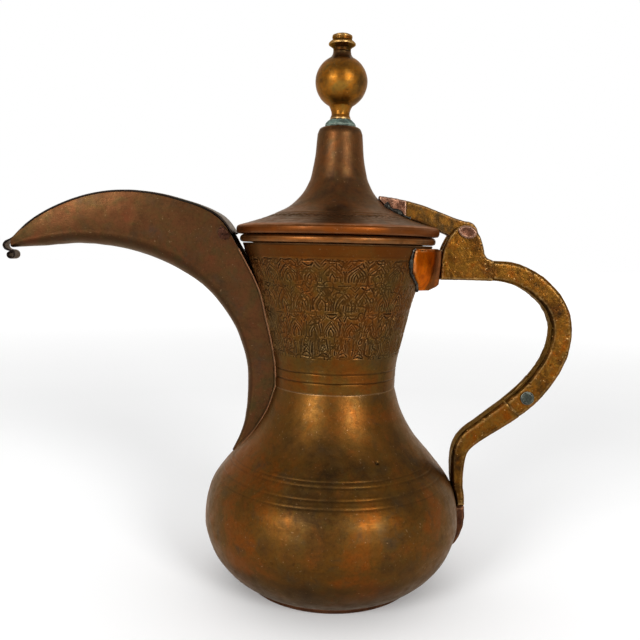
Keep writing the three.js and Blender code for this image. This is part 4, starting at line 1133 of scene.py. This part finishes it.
def blended_head(co):
    """Fades the wide head of the handle into its narrower bar."""
    start, cell, cells = PIN_X + 4, 0.45, 60
    x, y = co[:, 0], co[:, 1]
    share = clamp((x - start) / 22)
    target = HEAD[1][1] + (HANDLE_HALF - HEAD[1][1]) * share * share * (3 - 2 * share)
    zone = (x > start) & (x < start + 26) & (co[:, 2] > 120)
    widest = np.zeros(cells)
    np.maximum.at(widest, ((x - start) / cell).astype(int)[zone], np.abs(y[zone]))
    now = np.interp(x, start + cell * (np.arange(cells) + 0.5), np.maximum(widest, 4))
    # where the head's side steps in to the bar's
    step = start + cell * (np.argmax(widest[:-1] - widest[1:]) + 1)
    beside = zone & (np.abs(x - step) < 1.5) & (np.abs(y) > 0.86 * HANDLE_HALF)
    moved = co.copy()
    moved[:, 1] *= np.where(zone, target / now, 1)
    flat = np.sign(y) * np.maximum(np.abs(moved[:, 1]), target - 0.12)
    moved[:, 1] = np.where(beside, flat, moved[:, 1])
    return moved


def thick_arm(co):
    """Makes the arm deeper towards its foot on the lid."""
    x, z = co[:, 0], co[:, 2]
    top = np.interp(x, [21.4, PIN_X - 28, PIN_X - 6], [PIN_Z + 15.9, PIN_Z + 13.6, PIN_Z + 7.5])
    low = np.interp(x, [21.4, PIN_X - 29.6, PIN_X - 22.8, PIN_X - 9.5],
                    [PIN_Z + 10.6, PIN_Z + 7.4, PIN_Z + 5.6, PIN_Z - 0.6])
    share = clamp((z - low) / (top - low))
    return shifted(co, 2, clamp((PIN_X - 5 - x) / 16) * (1.5 * share - 0.9 * (1 - share)))


PIN_LEAN = math.radians(14)


def flattened_pin(co):
    """Presses the pin's heads into leaning ovals."""
    x, y, z = co[:, 0] - PIN_X, co[:, 1], co[:, 2] - PIN_Z
    head = np.abs(y) > HEAD[1][1] - 0.2
    cos, sin = math.cos(PIN_LEAN), math.sin(PIN_LEAN)
    a, b = (x * cos - z * sin) * 1.08, (x * sin + z * cos) * 0.72
    dish = clamp(1 - np.hypot(a / 3.6, b / 2.3))
    pressed = np.stack([PIN_X + a * cos + b * sin, y - np.sign(y) * 0.45 * dish ** 0.5,
                        PIN_Z + 0.7 - a * sin + b * cos], 1)
    return np.where(head[:, None], pressed, co)


def handle_shade_and_seam_dirt(co, no):
    """Painted shade on the faces towards the pot, and grime in the seams of the lap."""
    # painted shade: faces turned towards the pot are darkened
    inward = clamp((-no[:, 0] - 0.30) / 0.3) * (0.80 + 0.35 * noise3(co, 3.5, 205))
    free = clamp((co[:, 0] - PIN_X - 8) / 6)
    away = co - (RIVET[0] + RIVET[1]) / 2
    seam = 0.9 * groove(np.hypot(away[:, 0], away[:, 2]), 9.7, 1.0) * (away[:, 0] * co[:, 1] > 0)
    return clamp(np.maximum(inward * np.maximum(free, co[:, 2] < 120), seam))


cast("handle_arm", "handle_upper", "pot", BRASS, 0.40, 4, 0.24, 3.0, 0.40, 1.5, 200, 0.6, blended_head,
     swell=lambda co: 0.55 * clamp((co[:, 0] - PIN_X - 10) / 12), shade=handle_shade_and_seam_dirt)
cast("handle_tail", "handle_lower", "pot", BRASS, 0.42, 4, 0.14, 4.0, 0.26, 1.7, 210, 0.5,
     swell=lambda co: 0.25 + 0.4 * clamp((co[:, 2] - 52) / 12), shade=handle_shade_and_seam_dirt)
cast("handle_foot", "handle_shoe", "pot", COPPER_DARK, 0.4, 4, 0.2, 3.0, 0.2, 1.6, 220)


def leaf_edge(v):
    """The azimuth, from the +x axis, where the socket's leaf ends at a share of its height."""
    return math.radians(np.interp(v, [0, 0.175, 0.32, 0.466, 0.71, 0.95, 1], [10, 22, 31, 37.5, 41, 42, 40]))


SOCKET_LOW, SOCKET_HIGH = 148.4, MOUTH_HEIGHT - 1.2


def socket_solid():
    """The socket: a leaf on each side of the neck, folded out to a block about the handle's tang."""
    right = HEAD[0][0] + 4.7
    sections = []
    for v in np.concatenate([[0, 0.015, 0.04], np.linspace(0.08, 0.94, 26), [0.975, 1.0]]):
        z = SOCKET_LOW + (SOCKET_HIGH - SOCKET_LOW) * v
        radius = float(body_radius(z))
        thick = 1.5 + 0.9 * math.sin(math.pi * v)
        edge = leaf_edge(v)
        crease = np.array([44.8, 5.4]) + np.array([2.9, 4.2]) * min(v * 1.6, 1)
        crease = crease * max((radius + thick) / np.hypot(*crease), 1)
        start = (radius + 0.35) * np.array([math.cos(edge), math.sin(edge)])
        lip = (radius + thick * 0.8) * np.array([math.cos(edge - 0.012), math.sin(edge - 0.012)])
        end = np.array([right, crease[1] - 2.0])
        bulge, shoulder = (lip + crease) / 2 * 1.012, (crease + end) / 2 + [0.3, -0.7]
        side = resample([start, lip, bulge, crease, shoulder, end], 0.6)
        at = np.linspace(0, len(side) - 1, 26)
        side = np.stack([np.interp(at, np.arange(len(side)), side[:, k]) for k in range(2)], 1)
        round_off = 1 - 0.03 * max(0, (v - 0.94) / 0.06) - 0.03 * max(0, (0.04 - v) / 0.04)
        near = side * [1, -1] * round_off
        angle = np.linspace(edge, -edge, 26)[1:-1]
        back = (radius + 0.3) * np.stack([np.cos(angle), np.sin(angle)], 1)
        loop = np.concatenate([near, near[::-1] * [1, -1], back])
        sections.append(np.column_stack([loop, np.full(len(loop), z)]))
    return solid_of([np.array(sections)])


def socket_beads():
    """Solder along the edges of the leaves."""
    v = np.linspace(-0.03, 1.0, 90)
    z = SOCKET_LOW + (SOCKET_HIGH - SOCKET_LOW) * v
    angle = np.array([leaf_edge(max(t, 0)) for t in v]) + 0.018
    radius = body_radius(z) + 0.25
    tubes = []
    for side in (-1, 1):
        path = np.stack([radius * np.cos(angle), side * radius * np.sin(angle), z], 1)
        tubes.append(tube(path, np.clip(0.75 + 0.55 * noise3(path, 2.2, 141), 0.25, 1.3)))
    return solid_of(tubes)


def lifted_heel(co):
    """Lifts the underside of the socket's block towards the handle."""
    share = clamp((co[:, 0] - 45.5) / 7) * clamp((SOCKET_LOW + 12 - co[:, 2]) / 12)
    return shifted(co, 2, 3.2 * share)


def block_shade(co, no):
    """How dark the socket is: its leaf is rubbed bright, and its block is darker, partly a duller patina and
    partly painted shade where it turns away from the light.
    """
    level = clamp((co[:, 2] - SOCKET_LOW) / (SOCKET_HIGH - SOCKET_LOW))
    crease = 42.9 + 3.2 * clamp(level * 1.5) + 0.6 * noise3(co, 3, 233)
    # the block beyond the crease is darkened, partly painted shade
    block = clamp((co[:, 0] - crease) / 1.2) * (1.05 + 0.4 * noise3(co, 2.6, 234))
    return clamp(block)


cast("socket", "handle_socket", "pot", COPPER_BRIGHT, 0.36, 9, 0.20, 5.0, 0.06, 2.4, 230,
     solid=socket_solid(), shape=lifted_heel, shade=block_shade)
cast("socket_braze", "socket_solder", "pot", SOLDER, 0.26, 1, 0.22, 1.6, 0.1, 1.3, 240, solid=socket_beads())
cast("lid_arm", "hinge_arm", "lid", BRASS_DULL, 0.34, 4, 0.14, 3.0, 0.2, 1.5, 250, shape=thick_arm)
cast("lid_sheath", "arm_sheath", "lid", COPPER_PINK, 0.3, 4, 0.34, 2.6, 0.2, 1.6, 260)


def arm_lumps():
    """Solder left in lumps along both sides of the sheath, where it meets the dome."""
    low, high = node_box("arm_sheath")
    along = np.linspace(low[0] + 2.5, high[0] + 2.5, 60)
    tubes = []
    for side in (-1, 1):
        across = side * (high[1] + 0.1) * np.ones_like(along)
        top = np.interp(-np.hypot(along, across), -DOME_LINE[:, 0], DOME_LINE[:, 1])
        path = np.stack([along, across, top + 0.7], 1)
        tubes.append(tube(path, np.clip(1.25 + 1.1 * noise3(path, 2.0, 271), 0.4, 2.3), 12))
    return solid_of(tubes)


cast("lid_braze", "arm_solder", "lid", SOLDER, 0.3, 1, 0.5, 1.6, 0.25, 1.2, 270, solid=arm_lumps())


def rounded_patch(co):
    """Draws the corners of the patch in to a lump."""
    low, high = node_box("spout_patch")
    middle = (low + high) / 2
    away = (co - middle)[:, [0, 2]] / ((high - low)[[0, 2]] / 2)
    reach = np.max(np.abs(away), axis=1) / np.maximum(np.linalg.norm(away, axis=1), 1e-6)
    reach = reach * (1 + 0.10 * noise3(co, 2.5, 283))
    moved = middle + (co - middle) * reach[:, None]
    moved[:, 1] = co[:, 1] - 0.7 * clamp(1 - np.linalg.norm(away, axis=1))
    return moved


cast("spout_mend", "spout_patch", "pot", COPPER_CRUST, 0.25, 3, 0.35, 2.0, 0.2, 1.4, 280, shape=rounded_patch)
cast("pin", "hinge_pin", "pot", COPPER_PINK, 0.22, 3, 0.16, 2.0, 0.1, 1.2, 290, shape=flattened_pin)
cast("rivet", "handle_rivet", "pot", RIVET_GREY, 0.22, 3, 0.12, 2.0, 0.12, 1.0, 300)

for node in ("lid_collar", "finial_stud", "stud_washer"):
    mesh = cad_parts[node].data
    mesh.materials.clear()
    mesh.materials.append(COPPER_DARK[0])

# -------- camera, floor and light

PITCH, ROLL = math.radians(5.75), math.radians(1.28)
CAMERA_PLACE = (-0.0078, -0.360, 0.1685)
CAMERA_LENS = 40.5
LIGHT_TARGET = Vector((0, 0, 0.12))
LIGHT_DISTANCE = 1.7
LIGHT_POWER = 17.5

forward = Vector((0, math.cos(PITCH), -math.sin(PITCH)))
level = Vector((1, 0, 0))
above = level.cross(forward)
right = level * math.cos(ROLL) + above * math.sin(ROLL)
up = above * math.cos(ROLL) - level * math.sin(ROLL)
camera = new_object("camera", bpy.data.cameras.new("camera"))
camera.data.lens = CAMERA_LENS
camera.data.sensor_width = 36
camera.data.clip_start = 0.01
pose = Matrix((right, up, -forward)).transposed().to_4x4()
pose.translation = CAMERA_PLACE
camera.matrix_world = pose
bpy.context.scene.camera = camera

floor_mesh = bpy.data.meshes.new("floor")
floor_mesh.from_pydata([(-6, -6, 0), (6, -6, 0), (6, 6, 0), (-6, 6, 0)], [], [(0, 1, 2, 3)])
floor = new_object("floor", floor_mesh)
floor.location.z = -0.0003
pale = Nodes(bpy.data.materials.new("floor_pale"))
pale.link(pale.ramp(pale.noise(400, 2), [(0.3, 0.95), (0.7, 0.97)]), pale.shader.inputs["Base Color"])
pale.link(0.8, pale.shader.inputs["Roughness"])
# far from the pot the floor glows faintly, so that it runs out into the white behind
distance = pale.node("VectorMath")
distance.operation = "LENGTH"
pale.link(pale.place, distance.inputs[0])
glow = pale.ramp(pale.math("DIVIDE", distance.outputs["Value"], 2.5), [(0.20, 0.0), (0.75, 0.40)])
pale.link((1, 1, 1), pale.shader.inputs["Emission Color"])
pale.link(glow, pale.shader.inputs["Emission Strength"])
floor_mesh.materials.append(pale.owner)

for name, azimuth, elevation in (("left_light", -38, 17), ("right_light", 32, 19)):
    a, e = math.radians(azimuth), math.radians(elevation)
    direction = Vector((math.sin(a) * math.cos(e), -math.cos(a) * math.cos(e), math.sin(e)))
    light = new_object(name, bpy.data.lights.new(name, "AREA"))
    light.data.shape = "RECTANGLE"
    light.data.size, light.data.size_y = 0.50, 0.75
    light.data.energy = LIGHT_POWER
    light.location = LIGHT_TARGET + direction * LIGHT_DISTANCE
    light.rotation_euler = direction.to_track_quat("Z", "Y").to_euler()

# the studio is dim in front and bright behind
studio = bpy.data.worlds.new("studio")
bpy.context.scene.world = studio
sky = Nodes(studio, "Background", "OutputWorld")
depth = sky.math("MULTIPLY", sky.math("ADD", sky.part(sky.coordinates["Generated"], "Y"), 1), 0.5)
sky.link(sky.ramp(depth, [(0.30, 0.50), (0.80, 1.0)]), sky.shader.inputs["Color"])

view = bpy.context.scene.view_settings
view.view_transform = "Standard"
view.look = "None"
